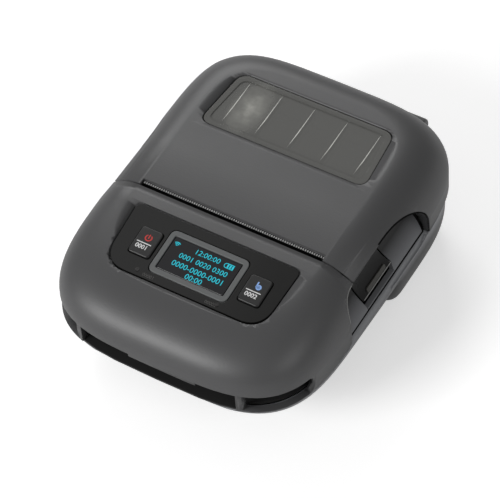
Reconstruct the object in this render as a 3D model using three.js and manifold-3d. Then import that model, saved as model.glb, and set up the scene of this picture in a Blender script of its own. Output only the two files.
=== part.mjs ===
// Mobile printer, millimetres, +Z up. X to the right (the side of the open button), Y to the rear
// (the side of the lid hinge). Depths along Y are counted from the tear edge of the paper slot,
// heights from the table. The whole group is moved at the end so that the origin lies under the
// middle of the bounding box.
import * as THREE from 'three';
import { mergeVertices } from 'three/addons/utils/BufferGeometryUtils.js';
import Module from 'manifold-3d';

const wasm = await Module();
wasm.setup();

// Clearances
const fit = 0.3; // between pieces that lie against each other
const seam = 0.4; // open line between two case parts
const lidSeam = 0.7; // open line in front of the lid
const over = 1; // how far a cut runs past what it cuts
const runningFit = 0.05; // radial, a shaft in its bearing
const reach = 20; // how far the helper bodies stand past the case

// What the printer is built around
const paper = { width: 80, sideRoom: 1.5, rollRadius: 25, rollRoom: 0.5 };
const slot = { halfWidth: paper.width / 2 + paper.sideRoom, gap: 3.6 };

// Envelope of the case: heights of the parting line, then the outer form
const parting = { front: 24.6, middle: 25.6, waist: 26.5, run: 1.3 };
const body = {
  sideRoom: 17.9, // from the end of the slot to the side of the case
  upper: 30.5, // height above the parting line
  front: -63.4,
  rear: 90,
  frontCentre: -4, // the front end is a squared ellipse about this depth
  rearCentre: 21, // and the rear end about this one
  frontPower: 3.7,
  rearPower: 4.4,
  rearBulge: 1.9, // the rear end is a little wider
  bulgeShare: 0.6, // share of the rear end over which it widens
  shoulderSide: 17,
  shoulderFront: 26,
  shoulderRear: 17,
  shoulderDrop: 20,
  frontDrop: 22,
  lean: 1, // the sides lean in by this over the lean height
  leanFoot: 30,
  leanHeight: 30,
  slopeStart: -11, // rear edge of the panel
  slope: 0.11, // fall of the top in front of it
  wall: 2.4,
  steps: 24, // outline points on each half
  levels: 9, // rows up the shoulder
};
body.halfWidth = slot.halfWidth + body.sideRoom;
body.top = parting.waist + body.upper;

// Side scoops
const scoop = {
  front: -12.7,
  frontTop: -2.7,
  frontFoot: 4.2,
  rearTop: 18.3,
  rear: 50,
  topDrop: 7.2, // from the top of the case
  power: 2.7,
  frontHeight: 12,
  inset: 2.2, // how deep the face lies at the parting line
  lean: 5.2, // how much deeper at the top
  faceFoot: 0.5, // the face starts to curve this far under the parting line
  faceDrop: 10, // and ends this far under the top
  panel: 2.2, // thickness of the panel
  flange: 1.6, // thickness of the walls round the scoop
  flare: 2, // the face runs out to the side under the parting line
  flareDrop: 9, // within this height
  steps: 10,
};
scoop.top = body.top - scoop.topDrop;
scoop.outer = body.halfWidth - scoop.inset;
scoop.inner = scoop.outer - scoop.lean;

const lidWindow = {
  frontHalf: 38.3, rearHalf: 35.8, front: 36.4, rear: 67, corner: 5, ledge: 1.6, ledgeDrop: 1.4,
};

const farSide = body.halfWidth + reach;
const farFront = body.front - reach;
const farRear = body.rear + reach;
const farTop = body.top + reach;

// Geometry helpers
function toSolid(geometry) {
  const clean = geometry.clone();
  clean.deleteAttribute('normal');
  clean.deleteAttribute('uv');
  const merged = mergeVertices(clean, 1e-4);
  return new wasm.Manifold(new wasm.Mesh({
    numProp: 3,
    vertProperties: merged.attributes.position.array,
    triVerts: new Uint32Array(merged.index.array),
  }));
}

function toGeometry(solid) {
  const mesh = solid.getMesh();
  const geometry = new THREE.BufferGeometry();
  geometry.setAttribute('position', new THREE.BufferAttribute(new Float32Array(mesh.vertProperties), 3));
  geometry.setIndex(new THREE.BufferAttribute(new Uint32Array(mesh.triVerts), 1));
  return geometry;
}

const join = (first, ...others) => others.reduce((sum, next) => sum.add(next), first);
const cut = (first, ...others) => others.reduce((rest, next) => rest.subtract(next), first);
const common = (first, ...others) => others.reduce((rest, next) => rest.intersect(next), first);
const mirrorX = (solid) => solid.mirror([1, 0, 0]);
const bothSides = (solid) => join(solid, mirrorX(solid));

// A block between two limits along each axis
function block([x0, x1], [y0, y1], [z0, z1]) {
  const box = new THREE.BoxGeometry(x1 - x0, y1 - y0, z1 - z0);
  box.translate((x0 + x1) / 2, (y0 + y1) / 2, (z0 + z1) / 2);
  return toSolid(box);
}

// A block centred on the middle plane of the printer
const wide = (half, depths, heights) => block([-half, half], depths, heights);

// Two widths on one side of the middle plane, in rising order
const span = (side, near, far) => (side > 0 ? [near, far] : [-far, -near]);

function shapeOf(points) {
  return new THREE.Shape(points.map(([a, b]) => new THREE.Vector2(a, b)));
}

// An outline given as depth and height pairs, swept across the printer from x0 to x1
function sweepX(points, x0, x1) {
  const geometry = new THREE.ExtrudeGeometry(shapeOf(points), { depth: x1 - x0, bevelEnabled: false });
  geometry.applyMatrix4(new THREE.Matrix4().set(0, 0, 1, x0, 1, 0, 0, 0, 0, 1, 0, 0, 0, 0, 0, 1));
  return toSolid(geometry);
}

// An outline given as width and height pairs, swept from depth y0 to y1
function sweepY(points, y0, y1) {
  const geometry = new THREE.ExtrudeGeometry(shapeOf(points), { depth: y1 - y0, bevelEnabled: false });
  geometry.applyMatrix4(new THREE.Matrix4().set(1, 0, 0, 0, 0, 0, -1, y1, 0, 1, 0, 0, 0, 0, 0, 1));
  return toSolid(geometry);
}

// A plan outline raised from z0 to z1
function raise(shape, z0, z1) {
  const options = { depth: z1 - z0, bevelEnabled: false, curveSegments: 6 };
  const geometry = new THREE.ExtrudeGeometry(shape, options);
  geometry.translate(0, 0, z0);
  return toSolid(geometry);
}

// A round body along X, and one that stands upright
function cylinder(radius, x0, x1, y, z, sides = 32) {
  const geometry = new THREE.CylinderGeometry(radius, radius, x1 - x0, sides);
  geometry.rotateZ(Math.PI / 2);
  geometry.translate((x0 + x1) / 2, y, z);
  return toSolid(geometry);
}

function post(radius, x, y, z0, z1, sides = 24) {
  const geometry = new THREE.CylinderGeometry(radius, radius, z1 - z0, sides);
  geometry.rotateX(Math.PI / 2);
  geometry.translate(x, y, (z0 + z1) / 2);
  return toSolid(geometry);
}

// Four-cornered plan outline with one rounding per corner pair; widths may differ front and rear
function plateShape(frontHalf, rearHalf, front, rear, frontRound, rearRound) {
  const corners = [
    [-frontHalf, front, frontRound],
    [frontHalf, front, frontRound],
    [rearHalf, rear, rearRound],
    [-rearHalf, rear, rearRound],
  ].map(([x, y, round]) => ({ at: new THREE.Vector2(x, y), round }));
  const shape = new THREE.Shape();
  corners.forEach(({ at, round }, i) => {
    const before = corners[(i + 3) % 4].at;
    const after = corners[(i + 1) % 4].at;
    const start = at.clone().add(before.clone().sub(at).setLength(round));
    const end = at.clone().add(after.clone().sub(at).setLength(round));
    if (i === 0) shape.moveTo(start.x, start.y);
    else shape.lineTo(start.x, start.y);
    shape.quadraticCurveTo(at.x, at.y, end.x, end.y);
  });
  shape.closePath();
  return shape;
}

const rectShape = (x, y, width, depth, round) => {
  const shape = plateShape(width / 2, width / 2, -depth / 2, depth / 2, round, round);
  return new THREE.Shape(shape.getPoints(6).map((p) => new THREE.Vector2(p.x + x, p.y + y)));
};

const finishes = {};
function finish(name, color, roughness, metalness) {
  finishes[name] = new THREE.MeshStandardMaterial({ name, color, roughness, metalness });
}
finish('case_grey', 0x4b4b4c, 0.62, 0);
finish('scoop_grey', 0x3d3e40, 0.5, 0);
finish('panel_black', 0x2c2b2a, 0.25, 0);
finish('inner_black', 0x141414, 0.7, 0);
finish('frame_grey', 0x6b6d6c, 0.5, 0);
finish('display_glass', 0x0b0b12, 0.1, 0);
finish('window_smoke', 0x70706a, 0.15, 0);
finish('button_gloss', 0x2d2d2c, 0.2, 0);
finish('rubber_black', 0x1b1b1b, 0.9, 0);
finish('steel', 0xb4b6b8, 0.35, 1);
finish('aluminium', 0xa9abad, 0.45, 1);
finish('board_green', 0x20503a, 0.6, 0);
finish('gear_white', 0xd8d6cc, 0.5, 0);
finish('lens_smoke', 0x2b2827, 0.3, 0);
finish('battery_grey', 0x2a2c30, 0.6, 0);

const printer = new THREE.Group();
function add(name, solid, finishName) {
  const mesh = new THREE.Mesh(toGeometry(solid), finishes[finishName]);
  mesh.name = name;
  printer.add(mesh);
}

// Outer form of the case. Each level is a squared ellipse; both halves of the outline are mirrored,
// so the caps are ladders of strips and can follow the fall of the top towards the front.
const caseForm = {
  halfWidth: body.halfWidth,
  front: body.front,
  rear: body.rear,
  frontCentre: body.frontCentre,
  frontPower: body.frontPower,
  wall: 0,
  leanFoot: body.leanFoot,
  bulge: body.rearBulge,
};

// How far a shoulder has turned in at a height
function fillet(z, top, drop, width) {
  const rise = (z - (top - drop)) / drop;
  if (rise <= 0) return 0;
  return width * (1 - Math.sqrt(Math.max(0, 1 - Math.min(rise, 1) ** 2)));
}

function outlineAt(z, form) {
  const top = body.top - form.wall;
  const lean = body.lean * Math.max(0, (z - form.leanFoot) / body.leanHeight);
  const side = form.halfWidth - form.wall - lean - fillet(z, top, body.shoulderDrop, body.shoulderSide);
  const front = form.front + form.wall + fillet(z, top, body.frontDrop, body.shoulderFront);
  const rear = form.rear - form.wall - fillet(z, top, body.shoulderDrop, body.shoulderRear);
  const rearCentre = Math.max(form.frontCentre, body.rearCentre);
  const points = [];
  for (let i = 0; i <= body.steps; i++) {
    const angle = (i / body.steps - 1 / 2) * Math.PI;
    const ahead = angle < 0;
    const power = 2 / (ahead ? form.frontPower : body.rearPower);
    const centre = ahead ? form.frontCentre : rearCentre;
    const length = ahead ? form.frontCentre - front : rear - rearCentre;
    const bulge = ahead ? 0 : form.bulge * Math.min(1, Math.sin(angle) / body.bulgeShare);
    const x = (side + bulge) * Math.abs(Math.cos(angle)) ** power;
    const y = centre + Math.sign(angle) * length * Math.abs(Math.sin(angle)) ** power;
    points.push([i === 0 || i === body.steps ? 0 : x, y]);
  }
  return points;
}

// A body of stacked levels; each level's fall lowers what lies in front of the slope's start
function stack(levels, slopeStart) {
  const position = [];
  const index = [];
  const half = body.steps + 1;
  levels.forEach(({ points, z, fall }) => {
    points.forEach(([x, y]) => {
      const drop = fall * Math.max(0, slopeStart - y);
      position.push(x, y, z - drop, -x, y, z - drop);
    });
  });
  const at = (level, i, side) => (level * half + i) * 2 + (i === 0 || i === half - 1 ? 0 : side);
  const push = (a, b, c) => {
    if (a !== b && b !== c && a !== c) index.push(a, b, c);
  };
  for (let level = 0; level + 1 < levels.length; level++) {
    for (let i = 0; i + 1 < half; i++) {
      const [a, b] = [at(level, i, 0), at(level, i + 1, 0)];
      const [c, d] = [at(level + 1, i, 0), at(level + 1, i + 1, 0)];
      push(a, b, d);
      push(a, d, c);
      const [e, f] = [at(level, i, 1), at(level, i + 1, 1)];
      const [g, h] = [at(level + 1, i, 1), at(level + 1, i + 1, 1)];
      push(e, h, f);
      push(e, g, h);
    }
  }
  const last = levels.length - 1;
  for (let i = 0; i + 1 < half; i++) {
    push(at(0, i, 0), at(0, i, 1), at(0, i + 1, 1));
    push(at(0, i, 0), at(0, i + 1, 1), at(0, i + 1, 0));
    push(at(last, i, 0), at(last, i + 1, 1), at(last, i, 1));
    push(at(last, i, 0), at(last, i + 1, 0), at(last, i + 1, 1));
  }
  const geometry = new THREE.BufferGeometry();
  geometry.setAttribute('position', new THREE.BufferAttribute(new Float32Array(position), 3));
  geometry.setIndex(index);
  return toSolid(geometry);
}

// The upper part of the case, pulled in by a wall, from a foot well under the parting line
const upperFoot = 10;
function upperBody(wall, foot = upperFoot) {
  const form = { ...caseForm, wall };
  const top = body.top - wall;
  const start = top - body.frontDrop;
  const levels = [{ points: outlineAt(foot, form), z: foot, fall: 0 }];
  for (let i = 0; i <= body.levels; i++) {
    const turn = (i / body.levels) * (Math.PI / 2);
    const z = start + body.frontDrop * Math.sin(turn);
    const share = (z - start) / body.frontDrop;
    const points = outlineAt(Math.min(z, top - runningFit / reach), form);
    levels.push({ points, z, fall: body.slope * share ** 2 });
  }
  return stack(levels, body.slopeStart);
}

const outerUpper = upperBody(0);
const shellBetween = (wall, inner) => cut(upperBody(wall), upperBody(inner, upperFoot - over));
const caseShell = shellBetween(0, body.wall);

// Side view of the scoop, front to rear, grown by a margin
function scoopOutline(margin, foot) {
  const points = [[scoop.front - margin, foot]];
  const frontBase = scoop.top - scoop.frontHeight;
  for (let i = 0; i <= scoop.steps; i++) {
    const angle = (i / scoop.steps) * (Math.PI / 2);
    const along = Math.cos(angle) ** (2 / scoop.power);
    const up = Math.sin(angle) ** (2 / scoop.power);
    points.push([
      scoop.frontTop - (scoop.frontTop - scoop.front + margin) * along,
      frontBase + (scoop.frontHeight + margin) * up,
    ]);
  }
  for (let i = 0; i <= scoop.steps; i++) {
    const angle = (1 - i / scoop.steps) * (Math.PI / 2);
    const along = Math.cos(angle) ** (2 / scoop.power);
    const up = Math.sin(angle) ** (2 / scoop.power);
    points.push([
      scoop.rearTop + (scoop.rear + margin - scoop.rearTop) * along,
      parting.waist + (scoop.top + margin - parting.waist) * up,
    ]);
  }
  points.push([scoop.rear + margin, foot]);
  return points;
}

// Cross-section of the scoop face, foot to top, moved inward by depth
function scoopFace(depth) {
  const foot = parting.waist - scoop.faceFoot;
  const top = body.top - scoop.faceDrop;
  const points = [
    [scoop.outer + scoop.flare - depth, -over],
    [scoop.outer + scoop.flare - depth, foot - scoop.flareDrop],
    [scoop.outer - depth, foot],
  ];
  for (let i = 1; i <= scoop.steps; i++) {
    const share = i / scoop.steps;
    const bend = Math.sin(share * Math.PI / 2);
    points.push([scoop.outer - depth - scoop.lean * bend, foot + (top - foot) * share]);
  }
  points.push([scoop.inner - depth, body.top + over]);
  return points;
}

const outsideFace = (depth) => sweepY(
  [...scoopFace(depth), [farSide, body.top + over], [farSide, -over]], body.front, body.rear,
);
const scoopSkin = sweepY([...scoopFace(0), ...scoopFace(scoop.panel).reverse()], body.front, body.rear);
const scoopHollow = bothSides(common(sweepX(scoopOutline(0, -over), 0, farSide), outsideFace(0)));

// Wall round the scoop, from the outer form in to a face
function scoopWall(margin, depth) {
  const ring = cut(
    sweepX(scoopOutline(margin + scoop.flange, -over), 0, farSide),
    sweepX(scoopOutline(margin, -over - over), -over, farSide + over),
  );
  return bothSides(common(ring, outsideFace(depth), outerUpper));
}

// Side views of the case parts
const buttonRise = 1.4; // from the parting line up to the button's front edge
const buttonFoot = parting.waist + buttonRise;
const lidFrontRun = 3; // height over which the lid's front edge is upright
const frontRegion = [
  [farFront, parting.front + seam / 2],
  [scoop.front - parting.run, parting.middle + seam / 2],
  [scoop.front, parting.waist + seam / 2],
  [scoop.frontFoot, parting.waist + seam / 2],
  [scoop.frontFoot, buttonFoot],
  [scoop.frontTop, scoop.top],
  [-slot.gap, body.top - lidFrontRun],
  [-slot.gap, farTop],
  [farFront, farTop],
];
const arch = scoopOutline(seam / 2, 0).slice(scoop.steps + 2, -1);
const lidRegion = [
  [-slot.gap + lidSeam, farTop],
  [-slot.gap + lidSeam, body.top - lidFrontRun],
  [scoop.frontTop + lidSeam, scoop.top + seam / 2],
  ...arch,
  [scoop.rear + seam / 2, parting.waist + seam / 2],
  [farRear, parting.waist + seam / 2],
  [farRear, farTop],
];
const lowerRegion = [
  [farFront, parting.front - seam / 2],
  [scoop.front - parting.run, parting.middle - seam / 2],
  [scoop.front, parting.waist - seam / 2],
  [farRear, parting.waist - seam / 2],
  [farRear, -over],
  [farFront, -over],
];
const inRegion = (region) => sweepX(region, -farSide, farSide);

// Lower case: a shallow tray with a rounded edge, the deep belly behind for the paper bin, the battery
// pocket and the pads for the front feet, all hollow from above.
const tray = {
  floor: 8, tuck: 13, rim: 18.5, edgeTuck: 1.4, rearBulge: 0.4, slopeStart: 20, rise: 0.05, notch: 3,
  wall: 2.4,
};
const belly = {
  halfWidth: body.halfWidth - 0.8, front: 21, frontCentre: 38, frontPower: 6, rear: body.rear - 4,
  foot: 1, edge: 19, tuck: 7, wall: 2.4, steps: 6,
  ledge: 22.5, ledgeRun: 2, endRun: 7, endSteps: 5, // the scoop ends on a ledge over the belly
};
const battery = { halfWidth: 31, front: -27, rear: 14, foot: 2.2, top: 16.4, wall: 2, door: 1.2 };
const foot = {
  radius: 4.5, height: 1.6, sink: 0.8, frontX: 28, frontY: -36, rearX: 36, rearY: 72, pad: 6, padHeight: 8,
};
const footSpots = [
  ['front_right', foot.frontX, foot.frontY],
  ['front_left', -foot.frontX, foot.frontY],
  ['rear_right', foot.rearX, foot.rearY],
  ['rear_left', -foot.rearX, foot.rearY],
];
const bin = { centre: 41, wall: 1.8, floorRoom: 5.3, halfWidth: slot.halfWidth };
bin.radius = paper.rollRadius + paper.rollRoom;
bin.height = belly.foot + belly.wall + bin.floorRoom + bin.wall + bin.radius;
const hingeAxis = {
  depth: body.rear - 1.8, drop: 18.5, radius: 4.3, half: 37.2, middle: 17, play: 0.3, pin: 1.5, room: 0.6,
  webDepth: 3.2, web: 4, rootDepth: 5, rootDrop: 8, endWall: 1.2,
};
hingeAxis.height = body.top - hingeAxis.drop;

const guard = {
  ring: 1.2, height: 8.8, inner: 35, outer: 37.4, sideEnd: -38, depth: 6, liner: 1.6, linerRise: 3,
  linerFront: 0.6, linerRear: -26, endRound: 3, back: -50,
  tabLeft: -11.6, tabRight: 18.4, tab: 1.4, tabDepth: 2.4,
};
guard.foot = parting.front + seam / 2 + guard.ring;
guard.top = guard.foot + guard.height;

function trayBody(wall) {
  const rows = [
    [tray.floor + wall, tray.tuck, tray.rearBulge],
    [tray.rim, tray.edgeTuck, tray.rearBulge],
    [parting.waist + over + wall, 0, body.rearBulge],
  ];
  return stack(rows.map(([z, tuck, bulge]) => ({
    points: outlineAt(0, { ...caseForm, wall: wall + tuck, bulge }),
    z,
    fall: -tray.rise,
  })), tray.slopeStart);
}

function bellyBody(wall) {
  const form = { ...caseForm, ...belly, bulge: 0 };
  const level = (z, inset) => ({ points: outlineAt(0, { ...form, wall: inset }), z, fall: 0 });
  const levels = [];
  for (let i = 0; i <= belly.steps; i++) {
    const turn = (i / belly.steps) * (Math.PI / 2);
    levels.push(level(
      belly.foot + wall + (belly.edge - belly.foot) * (1 - Math.cos(turn)),
      wall + belly.tuck * (1 - Math.sin(turn)),
    ));
  }
  levels.push(level(parting.waist - over + wall, wall));
  return stack(levels, body.slopeStart);
}

// Side view of what the scoop takes out of the lower case: all of the tray's edge, but only what lies
// above the ledge where the belly stands out
function scoopFootRegion() {
  const points = [
    [scoop.front - over, -over],
    [belly.front, -over],
    [belly.front + belly.ledgeRun, belly.ledge],
  ];
  for (let i = 0; i <= belly.endSteps; i++) {
    const turn = (i / belly.endSteps) * (Math.PI / 2);
    points.push([
      scoop.rear - belly.endRun * (1 - Math.sin(turn)),
      belly.ledge + (parting.waist - belly.ledge) * (1 - Math.cos(turn)),
    ]);
  }
  points.push([scoop.rear, farTop], [scoop.front - over, farTop]);
  return points;
}

// The pin goes in from the left; the right end of its hole is closed
const pinHole = () => cylinder(
  hingeAxis.pin + runningFit, -hingeAxis.half - hingeAxis.room, hingeAxis.half - hingeAxis.endWall,
  hingeAxis.depth, hingeAxis.height, 16,
);

function hingeRoot() {
  const { half, middle, play, radius, room, depth, height } = hingeAxis;
  const root = common(
    wide(half, [depth - hingeAxis.rootDepth, body.rear - seam], [parting.waist - hingeAxis.rootDrop, height]),
    join(outerUpper, trayBody(0)),
  );
  const rooms = [-1, 1].map((side) =>
    cylinder(radius + room, ...span(side, middle + play, half + over), depth, height));
  return cut(join(root, cylinder(radius, -middle, middle, depth, height)), ...rooms);
}

function lowerCase() {
  const outer = join(common(trayBody(0), inRegion(lowerRegion)), bellyBody(0));
  const inside = join(common(
    trayBody(tray.wall),
    join(
      upperBody(body.wall, upperFoot - over),
      wide(farSide, [farFront, farRear], [0, tray.rim + tray.notch]),
    ),
  ), bellyBody(belly.wall));
  const hollow = common(scoopHollow, inRegion(scoopFootRegion()));
  const waistWall = common(
    bothSides(scoopSkin),
    wide(farSide, [scoop.front - over, scoop.rear + scoop.flange],
      [belly.ledge - tray.wall, parting.waist - seam / 2]),
    outer,
  );
  const trayWall = common(
    bothSides(scoopSkin),
    wide(farSide, [scoop.front - over, belly.front + belly.ledgeRun + over],
      [0, parting.waist - seam / 2]),
    outer,
  );
  const ledge = common(
    wide(farSide, [belly.front, scoop.rear + scoop.flange], [belly.ledge - tray.wall, belly.ledge]),
    cut(outer, wide(scoop.outer - tray.wall, [farFront, farRear], [0, farTop])),
  );
  const pocketHalf = battery.halfWidth + battery.wall + fit;
  const pocketFoot = battery.foot - battery.door - fit;
  const pocket = join(
    wide(
      pocketHalf,
      [battery.front - battery.wall - fit, battery.rear + battery.wall + fit],
      [pocketFoot, battery.top + battery.wall + fit],
    ),
    wide(pocketHalf, [battery.rear, belly.front + over], [pocketFoot, tray.floor + tray.wall]),
  );
  const pads = [-1, 1].map((side) => post(foot.pad, side * foot.frontX, foot.frontY, foot.sink,
    tray.floor + foot.padHeight));
  const hole = wide(
    battery.halfWidth + fit,
    [battery.front - fit, battery.rear + fit],
    [-over, battery.top + fit],
  );
  const notch = wide(
    guard.inner,
    [farFront, body.front + tray.notch],
    [-over, parting.front - seam / 2 - fit],
  );
  const sockets = footSpots.map(([, x, y]) => post(foot.radius + fit, x, y, -over, foot.height));
  return cut(
    join(cut(outer, inside, hollow), waistWall, trayWall, ledge, pocket, ...pads, hingeRoot()),
    hole, notch, pinHole(), ...sockets,
  );
}
add('lower_case', lowerCase(), 'case_grey');

// Control panel: its upper plane falls with the top of the case
const panel = {
  rear: -11, front: -40.9, rearHalf: 37.1, frontHalf: 35.6, rearRound: 3, frontRound: 10,
  rise: 0.4, plate: 1.6, sunk: 0.5, margin: 0.35, support: 1.4, shelf: 4, ledge: 3,
};
const panelTop = (y) => body.top + panel.rise - body.slope * (body.slopeStart - y);
function slopedPlate(shape, above, thick) {
  const tilt = new THREE.Matrix4();
  tilt.set(1, 0, 0, 0, 0, 1, 0, 0, 0, body.slope, 1, panelTop(0) + above, 0, 0, 0, 1);
  return toSolid(toGeometry(raise(shape, -thick, 0)).applyMatrix4(tilt));
}

const panelShape = (grow) => plateShape(
  panel.frontHalf + grow, panel.rearHalf + grow, panel.front - grow, panel.rear + grow,
  panel.frontRound, panel.rearRound,
);

// The board under the panel hangs from four posts of the front cover
const panelBoard = {
  sideRoom: 1.6, frontRoom: 0.9, rearRoom: 2.5, drop: 7.5, thick: 1.4, post: 1.8, postRoom: 2, postInset: 1,
};
panelBoard.halfWidth = panel.rearHalf - panelBoard.sideRoom;
panelBoard.front = panel.front + panelBoard.frontRoom;
panelBoard.rear = panel.rear - panelBoard.rearRoom;
panelBoard.top = panelTop(panel.front) - panelBoard.drop;

function boardPosts() {
  const { postRoom, postInset } = panelBoard;
  const x = panelBoard.halfWidth - postInset;
  return [panelBoard.front + 2 * postRoom, panelBoard.rear - postRoom].map((y) => bothSides(
    post(panelBoard.post, x, y, panelBoard.top + fit, panelTop(y) - panel.sunk - panel.plate, 16),
  ));
}

// Front cover: shell with the panel recess, the guard openings and the front ends of the scoops
function guardOpenings() {
  const middle = wide(guard.inner, [farFront, guard.back], [0, guard.top]);
  const { foot: low, top: high, sideEnd, endRound } = guard;
  const sideView = [
    [farFront, low], [sideEnd - endRound, low], [sideEnd, low + endRound / 2],
    [sideEnd, high - endRound], [sideEnd - endRound, high], [farFront, high],
  ];
  return [middle, bothSides(sweepX(sideView, guard.outer, farSide))];
}

function frontCover() {
  const region = inRegion(frontRegion);
  const ends = common(bothSides(common(scoopSkin, sweepX(scoopOutline(over, 0), 0, farSide))), region);
  const walls = common(scoopWall(0, scoop.panel), region);
  const ring = slopedPlate(panelShape(panel.shelf), -panel.sunk - panel.plate, panel.support);
  const shelf = common(ring, outerUpper, region);
  const recess = slopedPlate(panelShape(panel.margin), reach, reach + panel.sunk + panel.plate);
  const hatch = slopedPlate(panelShape(-panel.ledge), 0, reach);
  const tab = common(
    shellBetween(0, guard.tabDepth),
    block([guard.tabLeft, guard.tabRight], [farFront, guard.back], [guard.top - guard.tab, guard.top + over]),
  );
  const shell = common(cut(caseShell, scoopHollow), region);
  const cover = cut(join(shell, ends, walls, shelf), recess, hatch, ...guardOpenings());
  return join(cover, tab, ...boardPosts());
}
add('front_cover', frontCover(), 'case_grey');

// Black channel behind the guard openings; in the middle its floor comes out to the front face
function guardLiner() {
  const back = common(
    shellBetween(guard.depth, guard.depth + guard.liner),
    wide(farSide, [farFront, guard.linerRear], [guard.foot - guard.ring, guard.top + guard.linerRise]),
  );
  const floorRange = [parting.front + seam / 2, guard.foot - fit];
  const floor = common(
    shellBetween(body.wall + fit, guard.depth + over),
    trayBody(tray.wall + fit),
    wide(farSide, [farFront, guard.linerRear], floorRange),
  );
  const lip = common(
    shellBetween(guard.linerFront, guard.depth + over),
    wide(guard.inner - fit, [farFront, guard.back], floorRange),
  );
  return join(back, floor, lip);
}
add('guard_liner', guardLiner(), 'inner_black');

// Display, keys and lamps in the panel
const display = {
  halfWidth: 15.3, rear: -18.4, front: -34.4, border: 2.3, borderRound: 3, innerRound: 0.8, glassRound: 0.5,
  back: 2.4, proud: 0.2, step: 0.1,
};
const key = {
  width: 9.6, depth: 12.4, round: 1.6, rise: 0.9, travel: 0.7, stem: 2.2, gap: 0.3, flange: 1.2,
  flangeThick: 0.8,
};
const keySpots = { mode: [-24.2, -26.4], feed: [25.4, -26.9] };
const lamp = { radius: 0.9, proud: 0.15 };
const lampSpots = { power_lens: [-21, -38.2], error_lens: [15, -38.6] };

const displayMid = (display.rear + display.front) / 2;
const displayShape = (grow, round) => rectShape(0, displayMid, 2 * (display.halfWidth + grow),
  display.rear - display.front + 2 * grow, round);

function panelPlate() {
  const plate = slopedPlate(panelShape(0), -panel.sunk, panel.plate - fit);
  const frameHole = slopedPlate(displayShape(display.border + fit, display.borderRound), over, reach);
  const holes = Object.values(keySpots).map(([x, y]) =>
    slopedPlate(rectShape(x, y, key.width + 2 * key.gap, key.depth + 2 * key.gap, key.round), over, reach));
  const lamps = Object.values(lampSpots).map(([x, y]) => post(lamp.radius + runningFit, x, y, 0, farTop, 16));
  return cut(plate, frameHole, ...holes, ...lamps);
}
add('panel_plate', panelPlate(), 'panel_black');

add('display_bezel', cut(
  slopedPlate(displayShape(display.border, display.borderRound), display.proud - panel.sunk, display.back),
  slopedPlate(displayShape(0, display.innerRound), over, reach),
), 'frame_grey');
add('display_module', slopedPlate(displayShape(-fit, display.glassRound), -panel.sunk - display.step,
  display.back - display.step), 'display_glass');

Object.entries(keySpots).forEach(([name, [x, y]]) => {
  const cap = slopedPlate(rectShape(x, y, key.width, key.depth, key.round), key.rise - panel.sunk,
    key.rise + panel.plate);
  const flange = slopedPlate(rectShape(x, y, key.width + key.flange, key.depth + key.flange, key.round),
    -panel.sunk - panel.plate, key.flangeThick);
  const stem = post(key.stem, x, y, panelBoard.top + key.travel + fit, panelTop(y) - panel.plate, 16);
  add(`${name}_button`, join(cap, flange, stem), 'button_gloss');
});

Object.entries(lampSpots).forEach(([name, [x, y]]) => {
  const z = panelTop(y) - panel.sunk;
  add(name, post(lamp.radius, x, y, z - panel.plate + 2 * fit, z + lamp.proud, 16), 'lens_smoke');
});

// Board under the panel and the main board over the battery
const mainBoard = { halfWidth: 36, front: -46, rear: 8, standOff: 0.5, thick: 1.6 };
add('panel_board', wide(panelBoard.halfWidth, [panelBoard.front, panelBoard.rear],
  [panelBoard.top - panelBoard.thick, panelBoard.top]), 'board_green');
const boardFoot = battery.top + battery.wall + fit + mainBoard.standOff;
add('main_board', wide(mainBoard.halfWidth, [mainBoard.front, mainBoard.rear],
  [boardFoot, boardFoot + mainBoard.thick]), 'board_green');

// Print head against the platen, with its heat sink
const platen = { depth: 3.5, drop: 14.4, radius: 5, ends: 1, shaft: 2, shaftEnd: 5.9 };
platen.height = body.top - platen.drop;
platen.half = slot.halfWidth - platen.ends;
const head = { thick: 1.4, ends: 0.5, foot: 36, topDrop: 7 };
head.face = platen.depth - platen.radius - fit;
head.half = slot.halfWidth - head.ends;
const sink = { thick: 1.6, shelf: 9, ends: 0.5, drop: 3 };
const sinkFace = head.face - head.thick - fit;
const sinkHalf = slot.halfWidth + sink.ends;
const sinkFoot = head.foot - sink.drop;
add('print_head', wide(head.half, [head.face - head.thick, head.face], [head.foot, body.top - head.topDrop]),
  'aluminium');
add('heat_sink', join(
  wide(sinkHalf, [sinkFace - sink.thick, sinkFace], [sinkFoot, body.top - head.topDrop - sink.drop]),
  wide(sinkHalf, [sinkFace - sink.shelf, sinkFace], [sinkFoot, sinkFoot + sink.thick]),
), 'steel');

// Lid carrier sizes, which the gear train also follows
const carrier = {
  gap: 1.5, cheek: 2.4, front: -0.2, rear: 14, footDrop: 4, topDrop: 5.2,
  plate: 1.6, plateFront: 5, plateRear: 33,
};
carrier.cheekIn = slot.halfWidth + carrier.gap;
carrier.cheekOut = carrier.cheekIn + carrier.cheek;
carrier.top = body.top - carrier.topDrop;
const bush = { radius: 3.6, inside: 0.6, outside: 0.4 };

// Gears with straight-sided teeth
const gearing = { module: 0.5, motor: 12, idler: 36, platen: 24, width: 3, gap: 0.8, slackShare: 0.12 };
gearing.x = -(carrier.cheekOut + gearing.gap + gearing.width);
const toothShares = { root: -0.62, tip: -0.27, addendum: 0.9, dedendum: 1.15 };
const idlerReach = gearing.module * (gearing.idler + gearing.platen) / 2;
const motorReach = gearing.module * (gearing.idler + gearing.motor) / 2;
const idlerSlope = Math.PI / 6;
const motorSlope = Math.PI / 12;
const idlerAt = [
  platen.depth - idlerReach * Math.cos(idlerSlope),
  platen.height - idlerReach * Math.sin(idlerSlope),
];
const motorAt = [
  idlerAt[0] - motorReach * Math.cos(motorSlope),
  idlerAt[1] - motorReach * Math.sin(motorSlope),
];

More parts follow.
